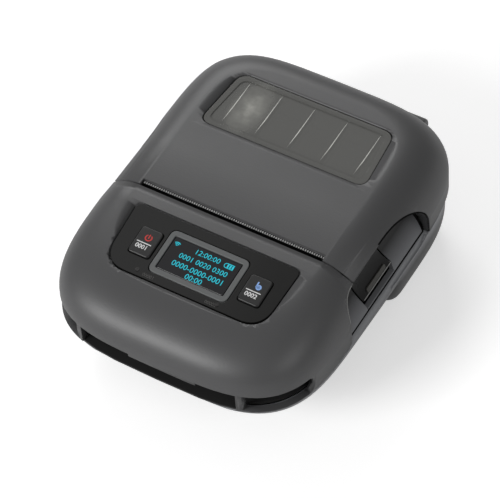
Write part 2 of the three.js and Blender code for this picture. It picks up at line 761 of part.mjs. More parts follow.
function gear(teeth, y, z, phase, bore) {
  const pitch = gearing.module * teeth / 2;
  const tip = pitch + gearing.module * toothShares.addendum;
  const root = pitch - gearing.module * toothShares.dedendum;
  const profile = [
    [toothShares.root, root], [toothShares.tip, tip], [-toothShares.tip, tip], [-toothShares.root, root],
  ];
  const points = [];
  const half = Math.PI / teeth;
  for (let i = 0; i < teeth; i++) {
    const mid = phase + 2 * half * i;
    profile.forEach(([share, radius]) => {
      const angle = mid + share * half * (1 - gearing.slackShare);
      points.push([y + radius * Math.cos(angle), z + radius * Math.sin(angle)]);
    });
  }
  const wheel = sweepX(points, gearing.x, gearing.x + gearing.width);
  return bore ? cut(wheel, cylinder(bore, -farSide, farSide, y, z, 24)) : wheel;
}

const idlerPin = 1.6;
add('platen_shaft', cylinder(platen.shaft, gearing.x, slot.halfWidth + platen.shaftEnd,
  platen.depth, platen.height, 24), 'steel');
add('platen_rubber', cut(
  cylinder(platen.radius, -platen.half, platen.half, platen.depth, platen.height, 40),
  cylinder(platen.shaft + runningFit, -farSide, farSide, platen.depth, platen.height, 24),
), 'rubber_black');
const idlerTurn = idlerSlope + Math.PI / gearing.idler;
add('platen_gear', gear(gearing.platen, platen.depth, platen.height, Math.PI + idlerSlope,
  platen.shaft + runningFit), 'gear_white');
add('idler_gear', gear(gearing.idler, ...idlerAt, idlerTurn, idlerPin + runningFit), 'gear_white');

// The pinion's teeth stand in the idler's gaps: its phase follows where the idler's teeth lie
const idlerPitch = 2 * Math.PI / gearing.idler;
const phaseShare = (((Math.PI + motorSlope - idlerTurn) / idlerPitch) % 1 + 1) % 1;
const motorPhase = motorSlope + (1 / 2 + phaseShare) * 2 * Math.PI / gearing.motor;
const motor = { radius: 7.4, gap: 2.4, length: 16.8, shaft: 1, grip: 3, boss: 3, plate: 1.2 };
motor.from = gearing.x + gearing.width + motor.gap;
motor.to = motor.from + motor.length;
add('motor_pinion', join(
  gear(gearing.motor, ...motorAt, motorPhase, 0),
  cylinder(motor.shaft, gearing.x, motor.from + motor.grip, ...motorAt, 16),
), 'steel');
add('stepper_motor', cut(
  cylinder(motor.radius, motor.from, motor.to, ...motorAt, 32),
  cylinder(motor.shaft + runningFit, motor.from - over, motor.from + motor.grip + over, ...motorAt, 16),
), 'aluminium');

// Gear bracket: a plate beside the motor with the idler's pin
const bracket = { front: 8, drop: 5, rear: -4, headRoom: 10, slopeRun: 6, play: 0.1 };
function gearBracket() {
  const plateX = [motor.from - fit - motor.plate, motor.from - fit];
  const [y, z] = motorAt;
  const top = body.top - bracket.headRoom;
  const outline = [
    [y - bracket.front, z - bracket.drop], [bracket.rear, sinkFoot], [bracket.rear, top],
    [y - bracket.front + bracket.slopeRun, top], [y - bracket.front, top - bracket.drop],
  ];
  return cut(
    join(sweepX(outline, ...plateX), cylinder(idlerPin, gearing.x, plateX[1] - bracket.play, ...idlerAt, 24)),
    cylinder(motor.boss, plateX[0] - over, plateX[1] + over, ...motorAt, 24),
  );
}
add('gear_bracket', gearBracket(), 'steel');

// Middle frame: scoop panels, deck, paper bin and the seat of the charge port
const openButton = {
  gapFoot: 0.7, foot: 5.1, rearTop: 18.3, rearFoot: 26, edgeRun: 1.2, topRoom: 0.2, frontRoom: 6,
};
openButton.gapFoot += parting.waist;
openButton.foot += parting.waist;
const deck = {
  foot: parting.waist + 6.5, thick: 2,
  wideHalf: scoop.outer - 4.2, wideFront: 28, wideRear: 48,
  frontHalf: scoop.outer - 7.2, front: 6,
  rearHalf: bin.halfWidth + 4.5, rear: 70, lap: 1,
};
const port = { width: 9, height: 3.2, wall: 0.5, depth: 8, sink: 1.2, at: 12.5, foot: 2.6 };
port.foot += parting.waist;

const portBlock = (grow, inner, outer) => block(
  [-outer, -inner],
  [port.at - port.width / 2 - grow, port.at + port.width / 2 + grow],
  [port.foot - grow, port.foot + port.height + grow],
);

const buttonRegion = (margin) => [
  [scoop.frontTop + margin, scoop.top + openButton.topRoom],
  [scoop.frontFoot - openButton.edgeRun + margin, openButton.foot],
  [openButton.rearFoot - margin, openButton.foot],
  [openButton.rearTop - margin, scoop.top + openButton.topRoom],
];

function middleFrame() {
  const keepOut = inRegion([
    [scoop.front - reach, farTop],
    [scoop.frontTop + seam, scoop.top + seam],
    [scoop.frontFoot + seam, buttonFoot],
    [scoop.frontFoot + seam, 0],
    [scoop.front - reach, 0],
  ]);
  const side = cut(
    common(scoopSkin, sweepX(scoopOutline(-seam / 2, 0), 0, farSide),
      wide(farSide, [farFront, farRear], [parting.waist + seam / 2, farTop])),
    keepOut,
  );
  const hole = sweepX([
    [scoop.frontTop - openButton.frontRoom, farTop],
    [scoop.frontTop - openButton.frontRoom, openButton.gapFoot],
    [openButton.rearFoot, openButton.gapFoot],
    [openButton.rearFoot + seam, openButton.foot],
    [openButton.rearTop + seam, scoop.top + openButton.topRoom],
    [openButton.rearTop + seam, farTop],
  ], 0, farSide);
  const deckHeights = [deck.foot, deck.foot + deck.thick];
  const plates = join(
    wide(deck.wideHalf, [deck.wideFront, deck.wideRear], deckHeights),
    wide(deck.frontHalf, [deck.front, deck.wideFront + deck.lap], deckHeights),
    wide(deck.rearHalf, [bin.centre, deck.rear], deckHeights),
  );
  const trough = cylinder(bin.radius + bin.wall, -bin.halfWidth - bin.wall, bin.halfWidth + bin.wall,
    bin.centre, bin.height, 40);
  const hollow = cylinder(bin.radius, -bin.halfWidth, bin.halfWidth, bin.centre, bin.height, 40);
  const well = wide(bin.halfWidth, [bin.centre - bin.radius, bin.centre + bin.radius], [bin.height, farTop]);
  const clip = wide(farSide, [farFront, farRear], [0, bin.height]);
  return cut(
    join(cut(side, hole), mirrorX(side), plates, common(trough, clip)),
    hollow,
    well,
    portBlock(fit, 0, farSide),
  );
}
add('middle_frame', middleFrame(), 'scoop_grey');

// Charge port: a steel shell, open outwards, in the left scoop panel
const portFace = scoop.outer - port.sink;
add('charge_port', cut(
  portBlock(0, portFace - port.depth, portFace),
  portBlock(-port.wall, portFace - port.depth + port.wall, farSide),
), 'steel');

// Open button with its raised bar and its stem
const button = {
  face: 0.5, thick: 2, stemIn: 8.6, stemOut: 5.4, stemFront: 6, stemRear: 15, stemFoot: 37, stemTop: 42,
  bar: 0.5, barFront: 9.5, barRear: 21.5, barFoot: 33.4, barTop: 35.8,
};
function openButtonBody() {
  const plate = (proud, depth) => sweepY(
    [...scoopFace(-proud), ...scoopFace(depth).reverse()], body.front, body.rear,
  );
  const heights = wide(farSide, [farFront, farRear], [openButton.foot, scoop.top - seam]);
  const face = common(plate(button.face, button.thick), sweepX(buttonRegion(seam), 0, farSide), heights);
  const bar = common(
    plate(button.face + button.bar, 0),
    block([0, farSide], [button.barFront, button.barRear], [button.barFoot, button.barTop]),
  );
  const stem = block([scoop.outer - button.stemIn, scoop.outer - button.stemOut],
    [button.stemFront, button.stemRear], [button.stemFoot, button.stemTop]);
  return join(face, bar, stem);
}
add('open_button', openButtonBody(), 'button_gloss');

// Lid: shell with the window opening and the slot in its front edge, walls round the scoop arches and
// hinge knuckles behind
const windowShape = (grow, round) => plateShape(
  lidWindow.frontHalf + grow, lidWindow.rearHalf + grow, lidWindow.front - grow, lidWindow.rear + grow,
  round, round,
);

function lidKnuckle(side) {
  const { depth, height, radius, middle, play, half, webDepth, web } = hingeAxis;
  const ends = span(side, middle + play, half);
  return join(
    cylinder(radius, ...ends, depth, height),
    common(block(ends, [body.rear - webDepth, body.rear], [height, height + radius + web]), outerUpper),
  );
}

function lidCover() {
  const { depth, height, radius, half, room } = hingeAxis;
  const region = inRegion(lidRegion);
  const shell = join(common(caseShell, region), common(scoopWall(seam / 2, -fit), region));
  const notch = wide(slot.halfWidth, [-slot.gap - over, 0], [0, farTop]);
  const opening = raise(windowShape(0, lidWindow.corner), scoop.top - reach, farTop);
  const rebate = raise(windowShape(lidWindow.ledge, lidWindow.corner + over), scoop.top - reach,
    body.top - lidWindow.ledgeDrop);
  const hingeGap = wide(half + room, [depth - 3 * radius, farRear], [0, height + radius + room]);
  return cut(
    join(cut(shell, notch, opening, rebate, hingeGap), lidKnuckle(-1), lidKnuckle(1)),
    pinHole(),
  );
}
add('lid_cover', lidCover(), 'case_grey');

const rib = { count: 5, width: 1, height: 4, from: 42, to: 64, step: 15.1, firstX: -29.7, lap: 0.1 };
const pane = { drop: 0.3, foot: 2.6, flangeTop: 1.7, flangeFoot: 3 };
function lidGlass() {
  const plug = raise(windowShape(-fit, lidWindow.corner), body.top - pane.foot, body.top - pane.drop);
  const flange = raise(windowShape(lidWindow.ledge - fit, lidWindow.corner + over),
    body.top - pane.flangeFoot, body.top - pane.flangeTop);
  const ribs = [];
  for (let i = 0; i < rib.count; i++) {
    const x = rib.firstX + i * rib.step;
    ribs.push(block([x - rib.width / 2, x + rib.width / 2], [rib.from, rib.to],
      [body.top - pane.flangeFoot - rib.height, body.top - pane.flangeFoot + rib.lap]));
  }
  return join(plug, flange, ...ribs);
}
add('lid_window', lidGlass(), 'window_smoke');

// Tear bar with real teeth
const tear = { count: 40, height: 0.9, thick: 0.8, foot: 6, root: 2 };
function tearBar() {
  const end = slot.halfWidth - fit;
  const pitch = 2 * end / tear.count;
  const points = [[end, body.top - tear.foot]];
  for (let i = 0; i <= tear.count; i++) {
    const x = end - i * pitch;
    points.push([x, body.top - tear.root]);
    if (i < tear.count) points.push([x - pitch / 2, body.top - tear.root + tear.height]);
  }
  points.push([-end, body.top - tear.foot]);
  return sweepY(points, -tear.thick - fit, -fit);
}
add('tear_bar', tearBar(), 'steel');

// Lid carrier with its two cheeks, and the platen's bushes in them
function lidCarrier() {
  const cheeks = [-1, 1].map((side) => block(span(side, carrier.cheekIn, carrier.cheekOut),
    [carrier.front, carrier.rear], [platen.height - carrier.footDrop, carrier.top - carrier.plate / 2]));
  const plate = wide(
    carrier.cheekOut,
    [carrier.plateFront, carrier.plateRear],
    [carrier.top - carrier.plate, carrier.top],
  );
  return cut(join(plate, ...cheeks),
    cylinder(bush.radius + runningFit, -farSide, farSide, platen.depth, platen.height, 24));
}
add('lid_carrier', lidCarrier(), 'inner_black');
[['left', -1], ['right', 1]].forEach(([name, side]) => {
  const ends = span(side, carrier.cheekIn - bush.inside, carrier.cheekOut + bush.outside);
  add(`platen_bush_${name}`, cut(
    cylinder(bush.radius, ...ends, platen.depth, platen.height, 24),
    cylinder(platen.shaft + runningFit, -farSide, farSide, platen.depth, platen.height, 24),
  ), 'gear_white');
});

// Hinge pin, battery with its door, and the feet
add('hinge_pin', cylinder(hingeAxis.pin, fit - hingeAxis.half, hingeAxis.half - hingeAxis.endWall - fit,
  hingeAxis.depth, hingeAxis.height, 16), 'steel');
add('battery_pack', wide(battery.halfWidth, [battery.front, battery.rear], [battery.foot, battery.top]),
  'battery_grey');
add('battery_door', wide(battery.halfWidth, [battery.front, battery.rear],
  [battery.foot - battery.door - fit, battery.foot - fit]), 'case_grey');
footSpots.forEach(([name, x, y]) => {
  add(`foot_${name}`, post(foot.radius, x, y, 0, foot.height - fit), 'rubber_black');
});

// Middle of the bounding box along the depth
printer.position.set(0, -(body.front + hingeAxis.depth + hingeAxis.radius) / 2, 0);
const group = new THREE.Group();
group.add(printer);
export default group;
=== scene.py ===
import bpy
import math
from mathutils import Matrix, Vector


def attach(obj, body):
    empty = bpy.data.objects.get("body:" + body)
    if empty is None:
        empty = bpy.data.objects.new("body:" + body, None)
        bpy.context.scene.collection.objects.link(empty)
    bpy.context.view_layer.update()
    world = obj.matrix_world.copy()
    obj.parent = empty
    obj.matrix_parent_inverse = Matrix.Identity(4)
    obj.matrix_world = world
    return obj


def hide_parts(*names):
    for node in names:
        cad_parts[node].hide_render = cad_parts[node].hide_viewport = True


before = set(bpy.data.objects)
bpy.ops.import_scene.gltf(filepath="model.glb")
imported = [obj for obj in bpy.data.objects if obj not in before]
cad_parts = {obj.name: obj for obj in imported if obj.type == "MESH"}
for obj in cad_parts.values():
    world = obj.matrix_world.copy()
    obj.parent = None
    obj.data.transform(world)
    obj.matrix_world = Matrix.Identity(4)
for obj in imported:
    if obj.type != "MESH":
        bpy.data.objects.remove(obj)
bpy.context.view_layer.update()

from types import SimpleNamespace as Sizes

# Camera, lamps and table. The printer lies level on a white table and is seen from the front right,
# high up, through a long lens; the light is a broad soft studio light from above and behind.
MM = 0.001
SLOT_TO_ROW = -14.55  # the tear edge's depth in the row frame, mm
VIEW = Sizes(
    azimuth=34.29, elevation=51.47, roll=-5.0, distance=1.026, aim=(14.1, -11.4, 56.7), sensor=36,
    focal_px=2654, picture_px=500)
LIGHT = Sizes(sky=0.22, mirrored_sky=0.2, paper=0.86, paper_glow=0.5, mirrored_paper=0.35)
WHITE = (1, 1, 1, 1)


def place(x, y, z):
    """A point given from the tear edge and the table, in metres of the row frame."""
    return Vector((x * MM, (y + SLOT_TO_ROW) * MM, z * MM))


def linear(hex_colour):
    """An sRGB hex colour as a linear colour with alpha."""
    parts = [int(hex_colour[i:i + 2], 16) / 255 for i in (1, 3, 5)]
    return tuple(p / 12.92 if p <= 0.04045 else ((p + 0.055) / 1.055) ** 2.4 for p in parts) + (1.0,)


def add_node(tree, kind, inputs=None, **settings):
    """Adds a shader node with its settings. Each input is a value, an output linked to it, or a node, which
    stands for its first output."""
    made = tree.nodes.new("ShaderNode" + kind)
    for name, value in settings.items():
        setattr(made, name, value)
    for socket, given in (inputs or {}).items():
        source = getattr(given, "outputs", [given])[0]
        if isinstance(source, bpy.types.NodeSocket):
            tree.links.new(source, made.inputs[socket])
        else:
            made.inputs[socket].default_value = source
    return made


def added(operator, apply=False, **settings):
    """Runs an operator that adds an object, and gives that object back, with its place applied if asked."""
    bpy.ops.object.select_all(action="DESELECT")
    operator(**settings)
    if apply:
        bpy.ops.object.transform_apply()
    return bpy.context.object


def new_material(name):
    """An empty node material, its tree and the object's own coordinates in it."""
    material = bpy.data.materials.new(name)
    material.use_nodes = True
    tree = material.node_tree
    tree.nodes.clear()
    return material, tree, add_node(tree, "TexCoord").outputs["Object"]


scene = bpy.context.scene
scene.view_settings.view_transform = "Standard"

azimuth, elevation, roll = map(math.radians, (VIEW.azimuth, VIEW.elevation, VIEW.roll))
back = Vector((math.sin(azimuth) * math.cos(elevation), -math.cos(azimuth) * math.cos(elevation), math.sin(
    elevation)))
level_right = Vector((math.cos(azimuth), math.sin(azimuth), 0))
level_up = back.cross(level_right)
right = math.cos(roll) * level_right + math.sin(roll) * level_up
up = -math.sin(roll) * level_right + math.cos(roll) * level_up
camera_data = bpy.data.cameras.new("photo_camera")
camera_data.sensor_width = VIEW.sensor
camera_data.lens = VIEW.sensor * VIEW.focal_px / VIEW.picture_px
camera_data.clip_start, camera_data.clip_end = 0.05, 20
camera = bpy.data.objects.new("photo_camera", camera_data)
eye = place(*VIEW.aim) + back * VIEW.distance
camera.matrix_world = Matrix.Translation(eye) @ Matrix((right, up, back)).transposed().to_4x4()
scene.collection.objects.link(camera)
scene.camera = camera


def shown(tree, mirrored_share):
    """1 where the camera sees the white backdrop, and a share of it for rays off metal and through glass."""
    ray = add_node(tree, "LightPath").outputs
    mirrored = add_node(
        tree, "Math", {0: ray["Is Glossy Ray"], 1: ray["Is Transmission Ray"]}, operation="MAXIMUM")
    faint = add_node(tree, "Math", {0: mirrored, 1: mirrored_share}, operation="MULTIPLY")
    return add_node(tree, "Math", {0: ray["Is Camera Ray"], 1: faint}, operation="MAXIMUM")


world = bpy.data.worlds.new("studio")
scene.world = world
world.use_nodes = True
studio = world.node_tree
studio.nodes.clear()
sky = add_node(studio, "Background", {"Color": WHITE, "Strength": LIGHT.sky})
paper = add_node(studio, "Background", {"Color": WHITE})
sky_or_paper = add_node(studio, "MixShader", {0: shown(studio, LIGHT.mirrored_sky), 1: sky, 2: paper})
add_node(studio, "OutputWorld", {"Surface": sky_or_paper})

MIDDLE = (0, 0, 0.03)
SOFTBOXES = {  # place, point that it faces, width, height (m) and watts
    "key_softbox": ((-0.6, -1.15, 0.72), MIDDLE, 0.6, 0.5, 13.5),
    "rear_softbox": ((-0.75, 0.85, 0.8), MIDDLE, 0.7, 0.5, 6.0),
    "right_softbox": ((1.1, -0.3, 0.75), MIDDLE, 0.6, 0.6, 2.5),
    "sheen_softbox": ((-0.643, 0.5, 1.1), (-0.643, 0.5, 0), 0.5, 0.8, 0.35),
}
for name, (spot, target, width, height, watts) in SOFTBOXES.items():
    lamp = bpy.data.lights.new(name, "AREA")
    lamp.shape, lamp.size, lamp.size_y, lamp.energy = "RECTANGLE", width, height, watts
    holder = bpy.data.objects.new(name, lamp)
    holder.location = spot
    holder.rotation_euler = (Vector(target) - Vector(spot)).to_track_quat("-Z", "Y").to_euler()
    scene.collection.objects.link(holder)

table = added(bpy.ops.mesh.primitive_plane_add, size=6)
table.name = "table"
white_table, tree, _ = new_material("white_table")
table_paint = add_node(tree, "BsdfDiffuse", {"Color": (*[LIGHT.paper] * 3, 1)})
table_glow = add_node(tree, "Emission", {"Strength": LIGHT.paper_glow})
table_lit = add_node(tree, "AddShader", {0: table_paint, 1: table_glow})
table_mix = add_node(tree, "MixShader", {0: shown(tree, LIGHT.mirrored_paper), 1: table_paint, 2: table_lit})
add_node(tree, "OutputMaterial", {"Surface": table_mix})
table.data.materials.append(white_table)

# Lid cover: one moulding of grained black-grey ABS, 2.4 mm thick, with a sunk window opening, the slot
# cut into its front edge, curved side arches over the scoops and two hinge knuckles behind.
CASE = Sizes(
    half=59.35, front=-63.4, rear=90.0, front_centre=-4.0, rear_centre=21.0, front_power=3.7, rear_power=4.4,
    bulge=1.82, bulge_reach=0.6, top=57.0, wall=2.4, lean=1.0, lean_foot=30.0, lean_height=30.0,
    side_reach=17.0, front_reach=26.0, rear_reach=17.0, drop=20.0, front_drop=22.0, slope=0.11,
    slope_start=-11.0, crown=0.4)
STEPS, LEVELS, ROUND_STEPS = 60, 22, 12
FAR_SIDE, FAR_FRONT, FAR_REAR, FAR_LOW, FAR_HIGH = 80, -90, 110, -1, 77  # past the case, for cutting bodies
FORM_FOOT = 10  # where the upper form starts, below every parting line
HAIR = 0.001  # keeps the top level just under the height where the shoulder closes


def shoulder(z, top, drop, reach):
    """How far a shoulder has turned in at a height."""
    rise = (z - (top - drop)) / drop
    return 0.0 if rise <= 0 else reach * (1 - math.sqrt(max(0.0, 1 - min(rise, 1.0) ** 2)))


def changed(form, **sizes):
    """A form's sizes with some of them changed."""
    return Sizes(**{**vars(form), **sizes})


def outline(z, inset=0.0, c=CASE):
    """One level of the case: half of a squared ellipse, front middle to rear middle, in mm."""
    top = c.top - inset
    lean = c.lean * max(0.0, (z - c.lean_foot) / c.lean_height)
    side = c.half - inset - lean - shoulder(z, top, c.drop, c.side_reach)
    front = c.front + inset + shoulder(z, top, c.front_drop, c.front_reach)
    back_end = c.rear - inset - shoulder(z, top, c.drop, c.rear_reach)
    rear_centre = max(c.front_centre, c.rear_centre)
    points = []
    for i in range(STEPS + 1):
        share = 2 * i / STEPS - 1  # points closer together at the side, where the scoop and the lid are cut
        angle = math.copysign(abs(share) ** 1.5, share) * math.pi / 2
        ahead = angle < 0
        squared = 2 / (c.front_power if ahead else c.rear_power)
        middle = c.front_centre if ahead else rear_centre
        reach = middle - front if ahead else back_end - middle
        wide = side + (0 if ahead else c.bulge * min(1.0, math.sin(angle) / c.bulge_reach))
        x = 0.0 if i in (0, STEPS) else wide * abs(math.cos(angle)) ** squared
        y = middle + math.copysign(1, angle) * reach * abs(math.sin(angle)) ** squared
        points.append((x, y))
    return points


def only(obj):
    """Selects one object and makes it active."""
    bpy.ops.object.select_all(action="DESELECT")
    obj.select_set(True)
    bpy.context.view_layer.objects.active = obj


def merge(obj, distance=0.00001):
    """Merges doubles and drops loose points."""
    only(obj)
    bpy.ops.object.mode_set(mode="EDIT")
    bpy.ops.mesh.select_all(action="SELECT")
    bpy.ops.mesh.remove_doubles(threshold=distance)
    bpy.ops.mesh.delete_loose()
    bpy.ops.mesh.select_all(action="SELECT")
    bpy.ops.mesh.normals_make_consistent(inside=False)
    bpy.ops.object.mode_set(mode="OBJECT")


def stacked(levels, slope_start=CASE.slope_start):
    """A closed body from (points, z, fall) levels: one grid laid up its right side and down its left, and
    merged where it meets. The fall acts ahead of a depth."""
    around = [(1, level) for level in levels] + [(-1, level) for level in reversed(levels)] + [(1, levels[0])]
    made = added(
        bpy.ops.mesh.primitive_grid_add, x_subdivisions=STEPS, y_subdivisions=len(around) - 1, calc_uvs=False)
    spots = iter(made.data.vertices)
    for side, (points, z, fall) in around:
        for x, y in points:
            next(spots).co = place(side * x, y, z - fall * max(0.0, slope_start - y))
    merge(made)
    return made


def apply_modifier(obj, kind, **settings):
    """Adds a modifier, sets it and applies it."""
    only(obj)
    modifier = obj.modifiers.new(kind.lower(), kind)
    for key, value in settings.items():
        setattr(modifier, key, value)
    bpy.ops.object.modifier_apply(modifier=modifier.name)


def combine(obj, tool, operation):
    """Combines a closed body with another one, which is then removed."""
    apply_modifier(obj, "BOOLEAN", object=tool, operation=operation, solver="MANIFOLD")
    bpy.data.objects.remove(tool, do_unlink=True)


def cut(obj, tool):
    combine(obj, tool, "DIFFERENCE")


def keep(obj, tool):
    combine(obj, tool, "INTERSECT")


def unite(obj, tool):
    combine(obj, tool, "UNION")


def upper_body(inset, foot=FORM_FOOT):
    """The upper part of the case, pulled in by an inset."""
    c = CASE
    top = c.top - inset
    levels = [(outline(foot, inset), foot, 0.0)]
    start = top - c.front_drop
    for i in range(LEVELS + 1):
        z = start + c.front_drop * math.sin(i / LEVELS * math.pi / 2)
        share = (z - start) / c.front_drop
        levels.append((outline(min(z, top - HAIR), inset), z, c.slope * share ** 2))
    return stacked(levels)


def extruded(spots, by):
    """A flat outline of points extruded into a closed body."""
    made = added(bpy.ops.mesh.primitive_circle_add, vertices=len(spots), fill_type="NGON", calc_uvs=False)
    for corner, spot in zip(made.data.vertices, spots):
        corner.co = spot
    bpy.ops.object.mode_set(mode="EDIT")
    bpy.ops.mesh.select_all(action="SELECT")
    bpy.ops.mesh.extrude_region_move(TRANSFORM_OT_translate={"value": by})
    bpy.ops.object.mode_set(mode="OBJECT")
    merge(made)
    return made


def prism(points, low, high, along):
    """An outline swept along X (depth, height pairs), Y (width, height pairs) or Z (width, depth pairs)."""
    spots = [place(*{"X": (low, a, b), "Y": (a, low, b), "Z": (a, b, low)}[along]) for a, b in points]
    length = (high - low) * MM
    return extruded(spots, {"X": (length, 0, 0), "Y": (0, length, 0), "Z": (0, 0, length)}[along])


def across(side_view, reach=FAR_SIDE):
    """A side view swept right across the case, past any body that it cuts."""
    return prism(side_view, -reach, reach, "X")


def brick(x0, x1, y0, y1, z0, z1):
    """A rectangular body given by its limits."""
    return added(
        bpy.ops.mesh.primitive_cube_add, apply=True, size=1,
        location=place((x0 + x1) / 2, (y0 + y1) / 2, (z0 + z1) / 2),
        scale=((x1 - x0) * MM, (y1 - y0) * MM, (z1 - z0) * MM))


def rod(radius, x0, x1, y, z, sides=48):
    """A round body along X."""
    return added(
        bpy.ops.mesh.primitive_cylinder_add, apply=True, radius=radius * MM, depth=(x1 - x0) * MM,
        vertices=sides, location=place((x0 + x1) / 2, y, z), rotation=(0, math.pi / 2, 0))


SCOOP = Sizes(
    front=-12.7, front_top=-2.7, front_foot=4.2, rear_top=18.3, rear=50.0, top=49.8, power=2.7,
    front_height=12.0, outer=57.2, inner=52.0, curve_foot=26.0, curve_top=47.0, flare=2.0, flare_drop=9.0,
    panel=2.2, steps=28, tip=58.0, wall=1.6, sweep_start=-63, sweep_end=90, reach=90)
PARTING = Sizes(front=24.6, middle=25.6, waist=26.5, step=1.3, notch=1.4)
SEAM, EDGE = 0.4, 0.35  # open seam between mouldings and the rounding of their edges


def scoop_outline(margin, foot):
    """Side view of the scoop, front to rear."""
    s = SCOOP
    points = [(s.front - margin, foot)]
    base = s.top - s.front_height
    for i in range(s.steps + 1):
        angle = i / s.steps * math.pi / 2
        along, high = math.cos(angle) ** (2 / s.power), math.sin(angle) ** (2 / s.power)
        points.append((
            s.front_top - (s.front_top - s.front + margin) * along, base + (s.front_height + margin) * high))
    for i in range(s.steps + 1):
        angle = (1 - i / s.steps) * math.pi / 2
        along, high = abs(math.cos(angle)) ** (2 / s.power), math.sin(angle) ** (2 / s.power)
        points.append((
            s.rear_top + (s.rear + margin - s.rear_top) * along,
            PARTING.waist + (s.top + margin - PARTING.waist) * high))
    points.append((s.rear + margin, foot))
    return points


def scoop_face(depth):
    """Cross-section of the scoop's face, foot to top."""
    s = SCOOP
    flared = s.outer + s.flare - depth
    points = [(flared, FAR_LOW), (flared, s.curve_foot - s.flare_drop), (s.outer - depth, s.curve_foot)]
    for i in range(1, s.steps + 1):
        share = i / s.steps
        points.append((
            s.outer - depth - (s.outer - s.inner) * math.sin(share * math.pi / 2),
            s.curve_foot + (s.curve_top - s.curve_foot) * share))
    points.append((s.inner - depth, s.tip))
    return points


def softened(obj, width=0.3, segments=2, angle=38, joined_within=0.0):
    """Small rounded edges on a moulded piece, then smooth shading between them."""
    if joined_within:
        merge(obj, joined_within * MM)
    apply_modifier(
        obj, "BEVEL", width=width * MM, segments=segments, limit_method="ANGLE",
        angle_limit=math.radians(angle), use_clamp_overlap=True, miter_outer="MITER_ARC")
    only(obj)
    bpy.ops.object.shade_smooth_by_angle(angle=math.radians(40))
    merge(obj, distance=0.000002)
    apply_modifier(obj, "WEIGHTED_NORMAL", keep_sharp=True, weight=100)


def finished(name, obj, material, body, slot_name, *nodes):
    """Gives a piece its name, material and body, and hides the plain solids that it stands for. Its slot name
    is not used.
    """
    obj.name = name
    obj.data.materials.clear()
    obj.data.materials.append(material)
    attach(obj, body)
    if nodes:
        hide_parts(*nodes)


def outside_face(side, depth):
    """What lies outside a scoop's face, moved inward by a depth."""
    points = scoop_face(depth) + [(FAR_SIDE, SCOOP.tip), (FAR_SIDE, FAR_LOW)]
    return prism([(side * x, z) for x, z in points], SCOOP.sweep_start, SCOOP.sweep_end, "Y")


WALL_INSET = 0.06  # keeps a wall's outer face just under the skin that it joins


def scoop_wall(side, margin, depth, region):
    """The wall round a scoop, from the outer form in to its face, within one moulding."""
    wall = across(scoop_outline(margin + SCOOP.wall, FAR_LOW), SCOOP.reach)
    cut(wall, across(scoop_outline(margin, FAR_LOW - 1), SCOOP.reach + 1))
    keep(wall, outside_face(side, depth))
    keep(wall, upper_body(WALL_INSET))
    keep(wall, across(region))
    return wall


def grained_abs(name, colour, worn, roughness, grain_mm, depth_mm, foot=None, shine=0.5):
    """ABS moulded in a spark-eroded tool: matte, with a fine even grain that catches soft light, faint clouds
    in its colour and a slightly polished, lighter look where hands and edges rub. With a foot (colour, its
    height, height of its end) the tone runs into another one further down. That is painted light: a painted
    reflection at the scoops' foot, and a painted-light band over the case grey on the lower moulding."""
    material, tree, at = new_material(name)
    grain = add_node(tree, "TexNoise", {"Scale": 1000 / grain_mm, "Detail": 3.0, "Vector": at})
    cloud = add_node(tree, "TexNoise", {"Scale": 22.0, "Detail": 3.0, "Vector": at})
    edge = add_node(tree, "NewGeometry").outputs["Pointiness"]
    rubbed = add_node(tree, "MapRange", {"From Min": 0.52, "From Max": 0.62, "Value": edge})
    share = add_node(tree, "Math", {0: cloud, 1: 0.5}, operation="MULTIPLY")
    both = add_node(tree, "Math", {0: share, 1: rubbed}, operation="MAXIMUM")
    tint = add_node(tree, "MixRGB", {"Color1": linear(colour), "Color2": linear(worn), "Fac": both})
    # Painted light by height: the colour changes between the foot's two heights.
    if foot:
        parts = add_node(tree, "SeparateXYZ", {"Vector": at})
        low = add_node(tree, "MapRange", {
            "From Min": foot[2] * MM, "From Max": foot[1] * MM, "Value": parts.outputs["Z"]})
        tint = add_node(tree, "MixRGB", {"Color2": linear(foot[0]), "Fac": low, "Color1": tint})
    bump = add_node(tree, "Bump", {"Strength": 0.4, "Distance": depth_mm * MM, "Height": grain})
    spread = add_node(tree, "MapRange", {
        "To Min": roughness + 0.07, "To Max": roughness - 0.07, "Value": cloud})
    shader = add_node(tree, "BsdfPrincipled", {
        "IOR": 1.5, "Specular IOR Level": shine, "Base Color": tint, "Roughness": spread, "Normal": bump})
    add_node(tree, "OutputMaterial", {"Surface": shader})
    return material


case_abs = grained_abs("grained_grey_abs", "#404041", "#49494a", 0.46, 0.7, 0.09, shine=0.65)
ARCH = slice(SCOOP.steps + 2, -1)  # the scoop's outline from its top to its rear end
LID_SEAM, LID_PROUD = 0.7, 0.3
SLOT = Sizes(half=41.5, front=-6, rear=0, edge=-3.6, floor=54)
over_waist = PARTING.waist + SEAM / 2
lid_region = [
    (SLOT.edge + LID_SEAM, FAR_HIGH), (SLOT.edge + LID_SEAM, SLOT.floor),
    (SCOOP.front_top + LID_SEAM, SCOOP.top + SEAM / 2), *scoop_outline(SEAM, 0)[ARCH],
    (SCOOP.rear + SEAM / 2, over_waist), (FAR_REAR, over_waist), (FAR_REAR, FAR_HIGH)]


def corner_plate(front_half, rear_half, front, rear, front_round, rear_round, segments=10):
    """Plan outline with four rounded corners, widths may differ front and rear."""
    corners = [
        ((-front_half, front), front_round), ((front_half, front), front_round),
        ((rear_half, rear), rear_round), ((-rear_half, rear), rear_round)]
    points = []
    for i, (corner, radius) in enumerate(corners):
        here = Vector(corner)
        before, after = Vector(corners[i - 1][0]), Vector(corners[(i + 1) % 4][0])
        start = here + (before - here).normalized() * radius
        end = here + (after - here).normalized() * radius
        for k in range(segments + 1):
            t = k / segments
            p = start * (1 - t) ** 2 + here * 2 * t * (1 - t) + end * t ** 2
            points.append((p.x, p.y))
    return points


WINDOW = Sizes(
    front_half=38.3, rear_half=35.8, front=36.4, rear=67.0, corner=5.0, ledge=1.6, rebate=1.4, below=30)


